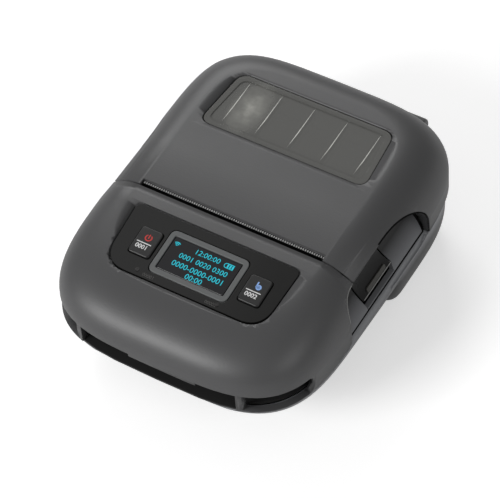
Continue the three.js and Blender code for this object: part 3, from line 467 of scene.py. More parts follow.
def window_plan(grow, corner):
    """The lid window's plan, grown all round."""
    w = WINDOW
    return corner_plate(w.front_half + grow, w.rear_half + grow, w.front - grow, w.rear + grow, corner, corner)


HINGE = Sizes(
    depth=88.2, height=38.5, radius=4.3, half=37.2, middle=17.0, play=0.3, pin=1.5, pin_play=0.05, end_wall=1.2,
    room=0.6, gap=75.3, web_front=86.8, web_rise=4, rounding=1.1)


def pin_bore():
    """The hole for the hinge pin, open on the left and closed on the right."""
    return rod(
        HINGE.pin + HINGE.pin_play, -HINGE.half - HINGE.room, HINGE.half - HINGE.end_wall, HINGE.depth,
        HINGE.height, 24)


def shell(side_view, wall=CASE.wall, proud=0):
    """The upper form's skin within a side view, from a little proud of the form down to a wall's depth."""
    made = upper_body(-proud)
    cut(made, upper_body(wall, FORM_FOOT - 1))
    keep(made, across(side_view))
    return made


lid = shell(lid_region)
for side in (-1, 1):
    unite(lid, scoop_wall(side, SEAM, -LID_PROUD, lid_region))
cut(lid, brick(-SLOT.half, SLOT.half, SLOT.front, SLOT.rear, 0, FAR_HIGH))
cut(lid, prism(window_plan(0, WINDOW.corner), WINDOW.below, FAR_HIGH, "Z"))
cut(lid, prism(window_plan(WINDOW.ledge, WINDOW.corner + 1), WINDOW.below, CASE.top - WINDOW.rebate, "Z"))
cut(lid, brick(
    -HINGE.half - HINGE.room, HINGE.half + HINGE.room, HINGE.gap, FAR_REAR, 0,
    HINGE.height + HINGE.radius + HINGE.room))
for side in (-1, 1):
    ends = sorted((side * (HINGE.middle + HINGE.play), side * HINGE.half))
    knuckle = rod(HINGE.radius, *ends, HINGE.depth, HINGE.height)
    softened(knuckle, HINGE.rounding, 4, 60)
    web = brick(*ends, HINGE.web_front, CASE.rear, HINGE.height, HINGE.height + HINGE.radius + HINGE.web_rise)
    keep(web, upper_body(0))
    unite(knuckle, web)
    unite(lid, knuckle)
cut(lid, pin_bore())
softened(lid, EDGE)
finished("lid_moulding", lid, case_abs, "lid", "case_grey", "lid_cover")

# Front cover: a second moulding of the same ABS. It has the sloped recess for the control panel, a guard
# gap with two posts and two corner openings under its rounded nose, and the front ends of the scoops.
GUARD = Sizes(
    foot=26.0, top=34.8, inner=35.0, outer=37.4, side_end=-38.0, end_round=3.0, tab_left=-11.6, tab_right=18.4,
    tab=1.4, tab_depth=2.4, reach=-50)
PANEL = Sizes(
    rear=-11.0, front=-40.9, rear_half=37.1, front_half=35.6, rear_round=3.0, front_round=10.0, plate=1.6,
    sunk=0.5, margin=0.35, support=1.4, shelf=4, shelf_inset=0.1, hatch=3, over=10)
BOARD_POST = Sizes(radius=1.8, x=34.5, depths=(-36.0, -15.5), foot=46.9, below=2.1)
front_region = [
    (FAR_FRONT, PARTING.front + SEAM / 2), (SCOOP.front - PARTING.step, PARTING.middle + SEAM / 2),
    (SCOOP.front, over_waist), (SCOOP.front_foot, over_waist),
    (SCOOP.front_foot, PARTING.waist + PARTING.notch), (SCOOP.front_top, SCOOP.top), (SLOT.edge, SLOT.floor),
    (SLOT.edge, FAR_HIGH), (FAR_FRONT, FAR_HIGH)]


def panel_top(y):
    """Height of the control panel's upper plane at a depth."""
    return CASE.top + CASE.crown - CASE.slope * (CASE.slope_start - y)


def sloped_plate(points, above, thick):
    """A plan outline between two planes parallel to the panel."""
    return extruded([place(x, y, panel_top(y) + above - thick) for x, y in points], (0, 0, thick * MM))


def panel_plan(grow):
    """The control panel's plan, grown all round."""
    p = PANEL
    return corner_plate(
        p.front_half + grow, p.rear_half + grow, p.front - grow, p.rear + grow, p.front_round, p.rear_round)


def post(radius, x, y, z0, z1, sides=48):
    """An upright round body."""
    return added(
        bpy.ops.mesh.primitive_cylinder_add, apply=True, radius=radius * MM, depth=(z1 - z0) * MM,
        vertices=sides, location=place(x, y, (z0 + z1) / 2))


def scoop_hollow(side):
    """The space that a scoop takes out of one side."""
    hollow = outside_face(side, 0)
    keep(hollow, across(scoop_outline(0, FAR_LOW), SCOOP.reach))
    return hollow


def scoop_strip(side, outer, inner, start=SCOOP.sweep_start, end=SCOOP.sweep_end):
    """A skin between two depths of a scoop's face, swept along one side of the case."""
    points = scoop_face(outer) + scoop_face(inner)[::-1]
    return prism([(side * x, z) for x, z in points], start, end, "Y")


cover = shell(front_region)
for side in (-1, 1):
    cut(cover, scoop_hollow(side))
for side in (-1, 1):
    unite(cover, scoop_wall(side, 0, SCOOP.panel, front_region))
shelf = sloped_plate(panel_plan(PANEL.shelf), -PANEL.sunk - PANEL.plate, PANEL.support)
keep(shelf, upper_body(PANEL.shelf_inset))
keep(shelf, across(front_region))
unite(cover, shelf)
for side in (-1, 1):
    end = scoop_strip(side, 0, SCOOP.panel)
    keep(end, across(scoop_outline(1, 0), SCOOP.reach))
    keep(end, across(front_region))
    unite(cover, end)
cut(cover, sloped_plate(panel_plan(PANEL.margin), PANEL.over, PANEL.over + PANEL.sunk + PANEL.plate))
cut(cover, sloped_plate(panel_plan(-PANEL.hatch), 0, 2 * PANEL.over))
cut(cover, brick(-GUARD.inner, GUARD.inner, FAR_FRONT, GUARD.reach, 0, GUARD.top))
corner_view = [(FAR_FRONT, GUARD.foot)]
for i in range(ROUND_STEPS + 1):
    angle = (i / ROUND_STEPS - 0.5) * math.pi
    corner_view.append((
        GUARD.side_end - GUARD.end_round * (1 - math.cos(angle)),
        (GUARD.foot + GUARD.top) / 2 + math.sin(angle) * (GUARD.top - GUARD.foot) / 2))
corner_view.append((FAR_FRONT, GUARD.top))
for side in (-1, 1):
    ends = sorted((side * GUARD.outer, side * FAR_SIDE))
    cut(cover, prism(corner_view, *ends, "X"))
tab = upper_body(0)
cut(tab, upper_body(GUARD.tab_depth, FORM_FOOT - 1))
keep(tab, brick(GUARD.tab_left, GUARD.tab_right, FAR_FRONT, GUARD.reach, GUARD.top - GUARD.tab, GUARD.top + 1))
unite(cover, tab)
for side in (-1, 1):
    for y in BOARD_POST.depths:
        unite(cover, post(
            BOARD_POST.radius, side * BOARD_POST.x, y, BOARD_POST.foot, panel_top(y) - BOARD_POST.below, 24))
softened(cover, EDGE)
finished("front_moulding", cover, case_abs, "case", "case_grey", "front_cover")

# Lower case: the third moulding. A shallow tray that turns under all round, a deeper belly behind for the
# paper bin, a pocket for the battery and the middle knuckle of the hinge.
TRAY = Sizes(
    rim=18.5, floor=8.0, tuck=13.0, edge_tuck=1.4, bulge=0.4, rise=0.05, start=20.0, notch=3.0, wall=2.4)
BELLY = Sizes(
    front=21.0, front_centre=38.0, front_power=6.0, half=58.6, rear=86.0, bulge=0, foot=1.0, edge=19.0,
    tuck=7.0, ledge=22.5, ledge_run=2.0, end_run=7.0, turns=14)
BATTERY = Sizes(half=31.0, front=-27.0, rear=14.0, foot=2.2, top=16.4, wall=2.0, door=1.2, play=0.3)
FOOT = Sizes(
    radius=4.5, height=1.6, sink=0.8, front_x=28.0, front_y=-36.0, rear_x=36.0, rear_y=72.0, pad=6.0,
    pad_rise=8, play=0.3)
ROOT = Sizes(deep=5, below=8)
LOWER_GAP = 0.5
lower_region = [
    (FAR_FRONT, PARTING.front - LOWER_GAP), (SCOOP.front - PARTING.step, PARTING.middle - LOWER_GAP),
    (SCOOP.front, PARTING.waist - LOWER_GAP), (FAR_REAR, PARTING.waist - LOWER_GAP), (FAR_REAR, FAR_LOW),
    (FAR_FRONT, FAR_LOW)]


def tray_body(wall):
    """The tray, pulled in by a wall."""
    rows = ((TRAY.floor + wall, TRAY.tuck, TRAY.bulge), (TRAY.rim, TRAY.edge_tuck, TRAY.bulge), (
        PARTING.waist + 1 + wall, 0, CASE.bulge))
    return stacked(
        [(outline(0, wall + tuck, changed(CASE, bulge=swell)), z, -TRAY.rise) for z, tuck, swell in rows],
        TRAY.start)


def belly_body(wall):
    """The belly behind, pulled in by a wall."""
    b, levels, steps = BELLY, [], BELLY.turns
    form = changed(CASE, **vars(BELLY))
    for i in range(steps + 1):
        turn = i / steps * math.pi / 2
        z = b.foot + wall + (b.edge - b.foot) * (1 - math.cos(turn))
        levels.append((outline(0, wall + b.tuck * (1 - math.sin(turn)), form), z, 0))
    levels.append((outline(0, wall, form), PARTING.waist - 1 + wall, 0))
    return stacked(levels)


def tray_below():
    """The tray cut off at the parting line, joined with the belly."""
    made = tray_body(0)
    keep(made, across(lower_region))
    unite(made, belly_body(0))
    return made


ledge_front = BELLY.front + BELLY.ledge_run
foot_view = [(SCOOP.front - 1, FAR_LOW), (BELLY.front, FAR_LOW), (ledge_front, BELLY.ledge)]
for i in range(ROUND_STEPS + 1):
    turn = i / ROUND_STEPS * math.pi / 2
    foot_view.append((
        SCOOP.rear - BELLY.end_run * (1 - math.sin(turn)),
        BELLY.ledge + (PARTING.waist - BELLY.ledge) * (1 - math.cos(turn))))
foot_view += [(SCOOP.rear, FAR_HIGH), (SCOOP.front - 1, FAR_HIGH)]
lower = tray_below()
inside = upper_body(CASE.wall, FORM_FOOT - 1)
unite(inside, brick(-FAR_SIDE, FAR_SIDE, FAR_FRONT, FAR_REAR, 0, TRAY.rim + TRAY.notch))
keep(inside, tray_body(TRAY.wall))
unite(inside, belly_body(TRAY.wall))
cut(lower, inside)
for side in (-1, 1):
    hollow = scoop_hollow(side)
    keep(hollow, across(foot_view))
    cut(lower, hollow)
for side in (-1, 1):
    ledge_foot = BELLY.ledge - TRAY.wall
    for far_end, low in ((SCOOP.rear + SCOOP.wall, ledge_foot), (ledge_front + 1, 0)):
        skin = scoop_strip(side, 0, SCOOP.panel, SCOOP.front - 1, far_end)
        keep(skin, brick(-FAR_SIDE, FAR_SIDE, FAR_FRONT, FAR_REAR, low, PARTING.waist - SEAM / 2))
        keep(skin, tray_below())
        unite(lower, skin)
    ends = sorted((side * (SCOOP.outer - TRAY.wall), side * FAR_SIDE))
    ledge = brick(*ends, BELLY.front, SCOOP.rear + SCOOP.wall, ledge_foot, BELLY.ledge)
    keep(ledge, tray_below())
    unite(lower, ledge)
pocket_grow = BATTERY.wall + BATTERY.play
pocket_foot = BATTERY.foot - BATTERY.door - BATTERY.play
for far_end, pocket_top in ((BATTERY.rear + pocket_grow, BATTERY.top + pocket_grow), (
    BELLY.front + 1, TRAY.floor + TRAY.wall)):
    unite(lower, brick(
        -BATTERY.half - pocket_grow, BATTERY.half + pocket_grow, BATTERY.front - pocket_grow, far_end,
        pocket_foot, pocket_top))
for side in (-1, 1):
    unite(lower, post(FOOT.pad, side * FOOT.front_x, FOOT.front_y, FOOT.sink, TRAY.floor + FOOT.pad_rise))
root = brick(
    -HINGE.half, HINGE.half, HINGE.depth - ROOT.deep, CASE.rear - SEAM, PARTING.waist - ROOT.below,
    HINGE.height)
root_keep = upper_body(0)
unite(root_keep, tray_body(0))
keep(root, root_keep)
unite(root, rod(HINGE.radius, -HINGE.middle, HINGE.middle, HINGE.depth, HINGE.height))
for side in (-1, 1):
    ends = sorted((side * (HINGE.middle + HINGE.play), side * (HINGE.half + 1)))
    cut(root, rod(HINGE.radius + HINGE.room, *ends, HINGE.depth, HINGE.height))
unite(lower, root)
cut(lower, pin_bore())
battery_half, low_play = BATTERY.half + BATTERY.play, BATTERY.play
cut(lower, brick(
    -battery_half, battery_half, BATTERY.front - low_play, BATTERY.rear + low_play, FAR_LOW,
    BATTERY.top + low_play))
cut(lower, brick(
    -GUARD.inner, GUARD.inner, FAR_FRONT, CASE.front + TRAY.notch, FAR_LOW,
    PARTING.front - SEAM / 2 - low_play))
for out, y in ((FOOT.front_x, FOOT.front_y), (FOOT.rear_x, FOOT.rear_y)):
    for x in (out, -out):
        cut(lower, post(FOOT.radius + FOOT.play, x, y, FAR_LOW, FOOT.height))
softened(lower, EDGE, joined_within=0.01)
# Painted light: the lower moulding's band is a light grey standing in for the table's reflection. Below 22.5 mm
# it runs into about the case's own grey.
band_painted_light_abs = grained_abs("band_grey_abs_painted_light", "#7c7d80", "#86878a", 0.42, 0.45, 0.03, (
    "#3d3d3e", 17.5, 22.5))
finished("lower_moulding", lower, band_painted_light_abs, "case", "case_grey", "lower_case")

# Middle frame: the darker inner moulding that holds the paper bin and shows as the curved panels of the two
# scoops. The scoop faces are smoother than the case. Their black runs to a grey at the foot, which is a painted
# reflection of the table.
# The foot colour is a painted reflection: black above 40 mm, turning to light grey at 26.5 mm.
scoop_abs = grained_abs("satin_black_abs_painted_foot_reflection", "#0e0e0f", "#151516", 0.42, 0.4, 0.02, ("#7c7d80", 26.5, 40.0), 0.12)


def merged_copy(source):
    """A copy of a plain solid with its loose triangles joined, as a piece of its own."""
    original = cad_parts[source]
    made = bpy.data.objects.new("copy", original.data.copy())
    scene.collection.objects.link(made)
    made.matrix_world = original.matrix_world.copy()
    only(made)
    bpy.ops.object.transform_apply()
    merge(made, distance=0.000005)
    apply_modifier(made, "DECIMATE", decimate_type="DISSOLVE", angle_limit=math.radians(0.6))
    return made


frame_piece = merged_copy("middle_frame")
softened(frame_piece, 0.2, 2, 30)
finished("middle_moulding", frame_piece, scoop_abs, "case", "scoop_grey", "middle_frame")
TRIM = Sizes(proud=0.05, thick=0.6, inset=0.5)
# The trims carry the scoop material, with its painted reflection at the foot, onto the front cover.
for side, trim_name in ((-1, "left"), (1, "right")):
    trim = scoop_strip(side, -TRIM.proud, TRIM.thick)
    keep(trim, across(scoop_outline(-TRIM.inset, 0), SCOOP.reach))
    keep(trim, across(front_region))
    softened(trim, 0.1, 1, 40)
    finished("scoop_front_" + trim_name, trim, scoop_abs, "case", "scoop_grey")

# Seam shade: black strips that lie in the seams round each scoop, under the lid's arch and along the parting
# line. They are painted shade, standing in for the shadow in those seams.
seam_shade_black = grained_abs("black_painted_seam_shade", "#050505", "#080808", 0.9, 0.5, 0.03, shine=0.1)
SEAM_SHADE = Sizes(proud=0.08, thick=0.5, play=0.05, under=0.9, foot=26.02, top=26.75, front_end=0.3, rear_end=0.1)
arch_view = scoop_outline(SEAM - SEAM_SHADE.play, 0)[ARCH]
arch_view += scoop_outline(-SEAM_SHADE.under, 0)[ARCH][::-1]
shade_ends = SCOOP.front + SEAM_SHADE.front_end, SCOOP.rear - SEAM_SHADE.rear_end
waist_view = [(shade_ends[0], SEAM_SHADE.foot), (shade_ends[1], SEAM_SHADE.foot), (shade_ends[1], SEAM_SHADE.top), (
    shade_ends[0], SEAM_SHADE.top)]
for shade_name, shade_view in (("arch_seam_shade", arch_view), ("waist_seam_shade", waist_view)):
    for side, side_name in ((-1, "left"), (1, "right")):
        shade_strip = scoop_strip(side, -SEAM_SHADE.proud, SEAM_SHADE.thick)
        keep(shade_strip, across(shade_view))
        finished(shade_name + "_" + side_name, shade_strip, seam_shade_black, "case", "inner_black")

# Lid seam line: a black strip along the lid's two arches. It is painted shade, standing in for the shadow of
# the seam there. It is half a millimetre wide, follows the outer form and stands a hair proud of it.
LINE = Sizes(proud=0.03, thick=0.5, lip=0.55, rub=0.35)


def edge_line(outer, inner, stretch):
    """A thin skin on the outer form between two outlines of the scoop, on both sides of the case."""
    line_view = scoop_outline(outer, 0)[stretch] + scoop_outline(inner, 0)[stretch][::-1]
    return shell(line_view, LINE.thick, LINE.proud)


seam_line_shade = grained_abs("black_painted_seam_line", "#070707", "#0b0b0b", 0.8, 0.5, 0.02, shine=0.1)
lid_seam_shade = edge_line(SEAM + LINE.lip, SEAM, ARCH)
finished("lid_seam_shade", lid_seam_shade, seam_line_shade, "lid", "inner_black")

# Scoop edges: a painted highlight, a light strip along the case's edge at the front of each scoop, where that
# edge catches the light. It is a few tenths of a millimetre wide.
edge_painted_highlight = grained_abs("painted_edge_highlight_abs", "#7a7a78", "#8a8a88", 0.35, 0.3, 0.01)
scoop_edge_highlights = edge_line(LINE.rub, 0, slice(2, SCOOP.steps + 1))
finished("scoop_edge_highlights", scoop_edge_highlights, edge_painted_highlight, "case", "case_grey")

# Open button: a gloss black push plate on the right scoop, on a stem that works the latch. It stands a little
# proud of the scoop and ends above a finger gap. A worn raised bar gives grip, and a light strip at its foot is
# a painted highlight of the plate's lower edge.
BUTTON = Sizes(
    face=0.5, thick=2.0, over=0.2, foot=31.6, front_run=1.2, rear_top=18.3, rear_foot=26.0, stem=48.6,
    stem_end=51.8, stem_front=6, stem_rear=15, stem_foot=37, stem_top=42)
HAZE = 17  # spacing of finger haze, mm


def gloss_plastic(name, colour, roughness, shine=0.5):
    """Polished moulded plastic: an even deep colour, with finger haze that dulls its gloss in places."""
    material, tree, at = new_material(name)
    haze = add_node(tree, "TexNoise", {"Scale": 1000 / HAZE, "Detail": 4.0, "Vector": at})
    spread = add_node(tree, "MapRange", {"To Min": roughness * 0.7, "To Max": roughness * 1.3, "Value": haze})
    shader = add_node(tree, "BsdfPrincipled", {
        "Base Color": linear(colour), "IOR": 1.5, "Specular IOR Level": shine, "Roughness": spread})
    add_node(tree, "OutputMaterial", {"Surface": shader})
    return material


def rect_plan(x, y, width, depth, round_corner, segments=10):
    """A rectangle with rounded corners about a point."""
    return [(px + x, py + y) for px, py in corner_plate(
        width / 2, width / 2, -depth / 2, depth / 2, round_corner, round_corner, segments)]


button_gloss = gloss_plastic("polished_black_abs", "#0c0c0c", 0.3, shine=0.06)
grip_abs = grained_abs("worn_satin_abs", "#393835", "#4a4945", 0.38, 0.3, 0.01, shine=0.2)
button_region = [
    (SCOOP.front_top + SEAM, SCOOP.top + BUTTON.over),
    (SCOOP.front_foot - BUTTON.front_run + SEAM, BUTTON.foot), (BUTTON.rear_foot - SEAM, BUTTON.foot),
    (BUTTON.rear_top - SEAM, SCOOP.top + BUTTON.over)]
plate = scoop_strip(1, -BUTTON.face, BUTTON.thick)
keep(plate, prism(button_region, 0, FAR_SIDE, "X"))
keep(plate, brick(-FAR_SIDE, FAR_SIDE, FAR_FRONT, FAR_REAR, BUTTON.foot, SCOOP.top - SEAM))
softened(plate, 0.6, 3, 30)
unite(plate, brick(
    BUTTON.stem, BUTTON.stem_end, BUTTON.stem_front, BUTTON.stem_rear, BUTTON.stem_foot, BUTTON.stem_top))
finished("open_button_plate", plate, button_gloss, "open_key", "button_gloss", "open_button")
# The strip at the button's foot is a painted highlight, in the light edge colour.
RAISED = (  # piece, depth and height of its middle, length, height, how far it stands out and material
    ("grip_bar", 14.4, 34.3, 14.5, 2.3, 0.5, grip_abs),
    ("button_foot_painted_highlight", 14.9, BUTTON.foot + 0.45, 21.6, 0.45, 0.06, edge_painted_highlight))
for part, y, z, length, height, proud, skin in RAISED:
    raised = scoop_strip(1, -BUTTON.face - proud, 0)
    keep(raised, prism(rect_plan(y, z, length, height, 0.4 * height, 6), 0, FAR_SIDE, "X"))
    softened(raised, 0.1, 2, 40)
    finished(part, raised, skin, "open_key", "button_gloss")

# Control panel: a sheet of gloss black acrylic let into the sloped recess, with openings for the display
# frame and the two keys.
SHEET = Sizes(play=0.25, thinner=0.3)
DISPLAY = Sizes(
    half=15.3, rear=-18.4, front=-34.4, border=2.3, border_round=3.0, inner_round=0.8, rise=0.2, back=2.4,
    play=0.3, glass_round=0.5, glass_sunk=0.1)
KEY = Sizes(
    width=9.6, depth=12.4, round=1.6, rise=0.9, skirt=1.9, opening=0.6, flange=1.2, flange_thick=0.8, stem=2.2,
    stem_foot=47.6, stem_below=2)
KEY_SPOTS = {"mode_button": (-24.2, -26.4, "mode_key"), "feed_button": (25.4, -26.9, "feed_key")}
THROUGH = 1, 10  # a cutting body's top over the panel's plane, and its depth


def display_plan(grow, round_corner):
    """The display opening's plan, grown by a border."""
    d = DISPLAY
    return rect_plan(0, (d.rear + d.front) / 2, 2 * (d.half + grow), d.rear - d.front + 2 * grow, round_corner)


def key_plan(x, y, grow=0):
    """A key's plan, widened by as much in both directions."""
    return rect_plan(x, y, KEY.width + grow, KEY.depth + grow, KEY.round)


panel_gloss = gloss_plastic("gloss_black_acrylic", "#0f0f0e", 0.14)
panel_sheet = sloped_plate(panel_plan(-SHEET.play), -PANEL.sunk, PANEL.plate - SHEET.thinner)
cut(panel_sheet, sloped_plate(display_plan(DISPLAY.border + DISPLAY.play, DISPLAY.border_round), *THROUGH))
for x, y, _ in KEY_SPOTS.values():
    cut(panel_sheet, sloped_plate(key_plan(x, y, KEY.opening), *THROUGH))
softened(panel_sheet, 0.25, 2)
finished("panel_sheet", panel_sheet, panel_gloss, "case", "panel_black", "panel_plate")

# Display frame: grey satin plastic round the display. It stands a little over the panel's sheet and its edges
# are rounded.
frame_paint = grained_abs("painted_grey_frame", "#5a5c5c", "#676969", 0.42, 0.3, 0.01)
bezel = sloped_plate(
    display_plan(DISPLAY.border, DISPLAY.border_round), -PANEL.sunk + DISPLAY.rise, DISPLAY.back)
cut(bezel, sloped_plate(display_plan(0, DISPLAY.inner_round), *THROUGH))
softened(bezel, 0.3, 3)
finished("display_frame", bezel, frame_paint, "case", "frame_grey", "display_bezel")

# Display glass: the display's black polished front, set a tenth of a millimetre below the panel's sheet and
# framed all round.
display_black = gloss_plastic("black_display_glass", "#07070d", 0.1)
display_glass = sloped_plate(
    display_plan(-DISPLAY.play, DISPLAY.glass_round), -PANEL.sunk - DISPLAY.glass_sunk,
    DISPLAY.back - DISPLAY.glass_sunk)
softened(display_glass, 0.1, 1)
finished("display_glass", display_glass, display_black, "case", "display_glass", "display_module")

# Display figures: the lit dots of the display, here four rows of plain figures with a signal sign and a
# battery sign. They are made as thin raised shapes just over the black glass.
TILT = math.atan(CASE.slope)
FILM = Sizes(thick=0.04, dots_lift=0.02, ink_lift=0.03)


def sloped_figures(text, size, x, y, above, swell=0.0):
    """A row of figures centred at a point over the panel's plane, as thin closed shapes."""
    made = added(bpy.ops.object.text_add, location=place(x, y, panel_top(y) + above), rotation=(TILT, 0, 0))
    row = made.data
    row.body, row.size, row.align_x, row.align_y = text, size * MM, "CENTER", "CENTER"
    row.extrude, row.offset, row.resolution_u = FILM.thick / 2 * MM, swell * MM, 3
    bpy.ops.object.convert(target="MESH")
    bpy.ops.object.transform_apply()
    return made


def ring_piece(x, y, inner, outer, start, end, steps, above):
    """Part of a flat ring over the panel's plane, between two angles in degrees."""
    turns = [math.radians(start + (end - start) * i / steps) for i in range(steps + 1)]
    edge = [(x + outer * math.cos(t), y + outer * math.sin(t)) for t in turns]
    edge += [(x + inner * math.cos(t), y + inner * math.sin(t)) for t in reversed(turns)]
    return sloped_plate(edge, above, FILM.thick)


def bar_piece(x, y, width, depth, above):
    """A flat bar over the panel's plane."""
    return sloped_plate(rect_plan(x, y, width, depth, 0.1, 2), above, FILM.thick)


def joined(pieces):
    """Joins pieces of one print."""
    only(pieces[0])
    for piece in pieces[1:]:
        piece.select_set(True)
    bpy.ops.object.join()
    return pieces[0]


def lit_dots(name, colour, strength):
    """Lit display dots: each glows in one pure colour and is a little uneven, as the rows are scanned."""
    material, tree, at = new_material(name)
    dots = add_node(tree, "TexNoise", {"Scale": 1600.0, "Detail": 1.0, "Vector": at})
    glow = add_node(tree, "MapRange", {"To Min": strength * 0.7, "To Max": strength * 1.2, "Value": dots})
    shader = add_node(tree, "BsdfPrincipled", {
        "Base Color": linear("#04080a"), "Roughness": 0.3, "Emission Color": linear(colour),
        "Emission Strength": glow})
    add_node(tree, "OutputMaterial", {"Surface": shader})
    return material


cyan_dots = lit_dots("cyan_display_dots", "#1fc3d6", 1.0)
DOTS = -PANEL.sunk + FILM.dots_lift
ROWS = (  # figures, their size, and the place of their middle
    ("12:00:00", 3.3, 0.9, -21.4), ("0001 0020 0300", 3.3, 1.2, -25.5),
    ("0000-0000-0001", 3.5, 1.1, -29.5), ("00:00", 3.4, 1.1, -32.8))
RINGS = (  # place of the middle, inner and outer radius, start and end in degrees, steps
    (-12.8, -22.5, 0.35, 0.7, 48, 132, 16), (-12.8, -22.5, 1.0, 1.35, 48, 132, 16),
    (-12.8, -22.5, 1.65, 2.0, 48, 132, 16), (9.6, -21.6, 0.85, 1.15, 90, 270, 16))
BARS = (  # place of the middle, width and depth
    (11.2, -22.6, 3.2, 0.3), (11.2, -20.6, 3.2, 0.3), (10.2, -21.6, 0.7, 1.5), (11.3, -21.6, 0.7, 1.5),
    (12.4, -21.6, 0.7, 1.5))
figures = [sloped_figures(*row, DOTS) for row in ROWS]
figures += [ring_piece(*ring, DOTS) for ring in RINGS]
figures += [bar_piece(*bar, DOTS) for bar in BARS]
finished("display_figures", joined(figures), cyan_dots, "case", "display_glass")

# Keys: two black rubber-touch caps with rounded edges. Each has a flange that holds it under the sheet and a
# stem down to its switch.
key_touch = grained_abs("soft_touch_black_key", "#111111", "#191919", 0.4, 0.3, 0.01)
for key_name, (x, y, body) in KEY_SPOTS.items():
    cap = sloped_plate(key_plan(x, y), -PANEL.sunk + KEY.rise, KEY.rise + KEY.skirt)
    softened(cap, 0.55, 3)
    unite(cap, sloped_plate(key_plan(x, y, KEY.flange), -PANEL.sunk - PANEL.plate, KEY.flange_thick))
    unite(cap, post(KEY.stem, x, y, KEY.stem_foot, panel_top(y) - KEY.stem_below))
    finished(key_name + "_cap", cap, key_touch, body, "button_gloss", key_name)

# Key prints: pad-printed enamel ink on each cap, a coloured sign over a white line and plain white figures;
# the lamps' figures on the panel are printed in a grey that hardly shows.
PRINT = -PANEL.sunk + KEY.rise + FILM.ink_lift
UNDERLINE = Sizes(x=-0.3, y=-0.85, width=6.5, depth=0.42)
NUMBER = Sizes(size=2.7, x=-0.4, y=-2.75, swell=0.05)


def pad_ink(name, colour, roughness=0.45):
    """Pad-printed ink: a thin satin film, a little uneven in its cover and faintly rough to the light."""
    material, tree, at = new_material(name)
    cover = add_node(tree, "TexNoise", {"Scale": 900.0, "Detail": 2.0, "Vector": at})
    thin = add_node(tree, "MapRange", {"From Min": 0.45, "From Max": 0.9, "To Max": 0.35, "Value": cover})
    tint = add_node(tree, "MixRGB", {"Color1": linear(colour), "Color2": linear("#2a2a2a"), "Fac": thin})
    shader = add_node(tree, "BsdfPrincipled", {"Roughness": roughness, "IOR": 1.5, "Base Color": tint})
    add_node(tree, "OutputMaterial", {"Surface": shader})
    return material


white_ink = pad_ink("white_pad_ink", "#e6e6e6")
red_ink = pad_ink("red_pad_ink", "#c2302b")
blue_ink = pad_ink("pale_blue_pad_ink", "#8fb6f0")
faint_ink = pad_ink("faint_grey_pad_ink", "#454442")
KEY_SIGNS = {  # ring and bar as above, but placed from the key's middle, then ink and number
    "mode_key": ((0.2, 1.9, 1.05, 1.6, -235, 55, 16), (0.2, 2.5, 0.5, 1.9), red_ink, "0001"),
    "feed_key": ((0.7, 1.5, 0.6, 1.2, 0, 360, 24), (-0.35, 2.5, 0.6, 2.6), blue_ink, "0002")}
for x, y, body in KEY_SPOTS.values():
    (ring_x, ring_y, *ring), (bar_x, bar_y, *bar), ink, number = KEY_SIGNS[body]
    sign = [ring_piece(x + ring_x, y + ring_y, *ring, PRINT), bar_piece(x + bar_x, y + bar_y, *bar, PRINT)]
    finished(body + "_sign", joined(sign), ink, body, "button_gloss")
    line = bar_piece(x + UNDERLINE.x, y + UNDERLINE.y, UNDERLINE.width, UNDERLINE.depth, PRINT)
    digits = sloped_figures(number, NUMBER.size, x + NUMBER.x, y + NUMBER.y, PRINT, NUMBER.swell)
    finished(body + "_figures", joined([line, digits]), white_ink, body, "button_gloss")
LAMP_ROWS = ("00001", 2.1, -15.5, -39.2), ("00002", 2.1, 12.6, -39.2)
lamp_figures = [sloped_figures(*row, -PANEL.sunk + FILM.ink_lift) for row in LAMP_ROWS]
finished("lamp_figures", joined(lamp_figures), faint_ink, "case", "panel_black")

# Lid window: a smoked clear polycarbonate pane with a raised rim and with stiffening ribs moulded on its
# underside.
PANE = Sizes(
    play=0.45, foot=2.6, sunk=0.3, rim=2.8, rim_round=3.6, dish=0.75, flange_play=0.3, flange_foot=3,
    flange_top=1.7, over=9)
RIB = Sizes(count=5, width=1.0, height=4.0, start=42.0, end=64.0, step=15.1, first=-29.7, top=2.9)
rib_places = [RIB.first + i * RIB.step for i in range(RIB.count)]


def smoked_pane(name, colour, haze, roughness):
    """Clear polycarbonate tinted grey, polished outside: the dark inside shows through it and it mirrors the
    softboxes. A painted reflection lies on it in one place, as a pale cloud that is also less clear."""
    material, tree, at = new_material(name)
    spot = add_node(
        tree, "Mapping", {"Location": place(-23, 52, 57), "Scale": (0.009, 0.016, 0.02), "Vector": at},
        vector_type="TEXTURE")
    cloud = add_node(tree, "TexGradient", {"Vector": spot}, gradient_type="SPHERICAL")
    faint = add_node(tree, "TexNoise", {"Scale": 260.0, "Detail": 4.0, "Vector": at})
    painted_reflection = add_node(tree, "Math", {0: cloud.outputs["Fac"], 1: faint}, operation="MULTIPLY")
    tint = add_node(tree, "MixRGB", {"Color1": linear(colour), "Color2": linear(haze), "Fac": painted_reflection})
    cover = add_node(tree, "MapRange", {"To Min": 0.66, "To Max": 0.95, "Value": painted_reflection})
    shader = add_node(tree, "BsdfPrincipled", {
        "IOR": 1.58, "Roughness": roughness, "Base Color": tint, "Alpha": cover})
    add_node(tree, "OutputMaterial", {"Surface": shader})
    return material


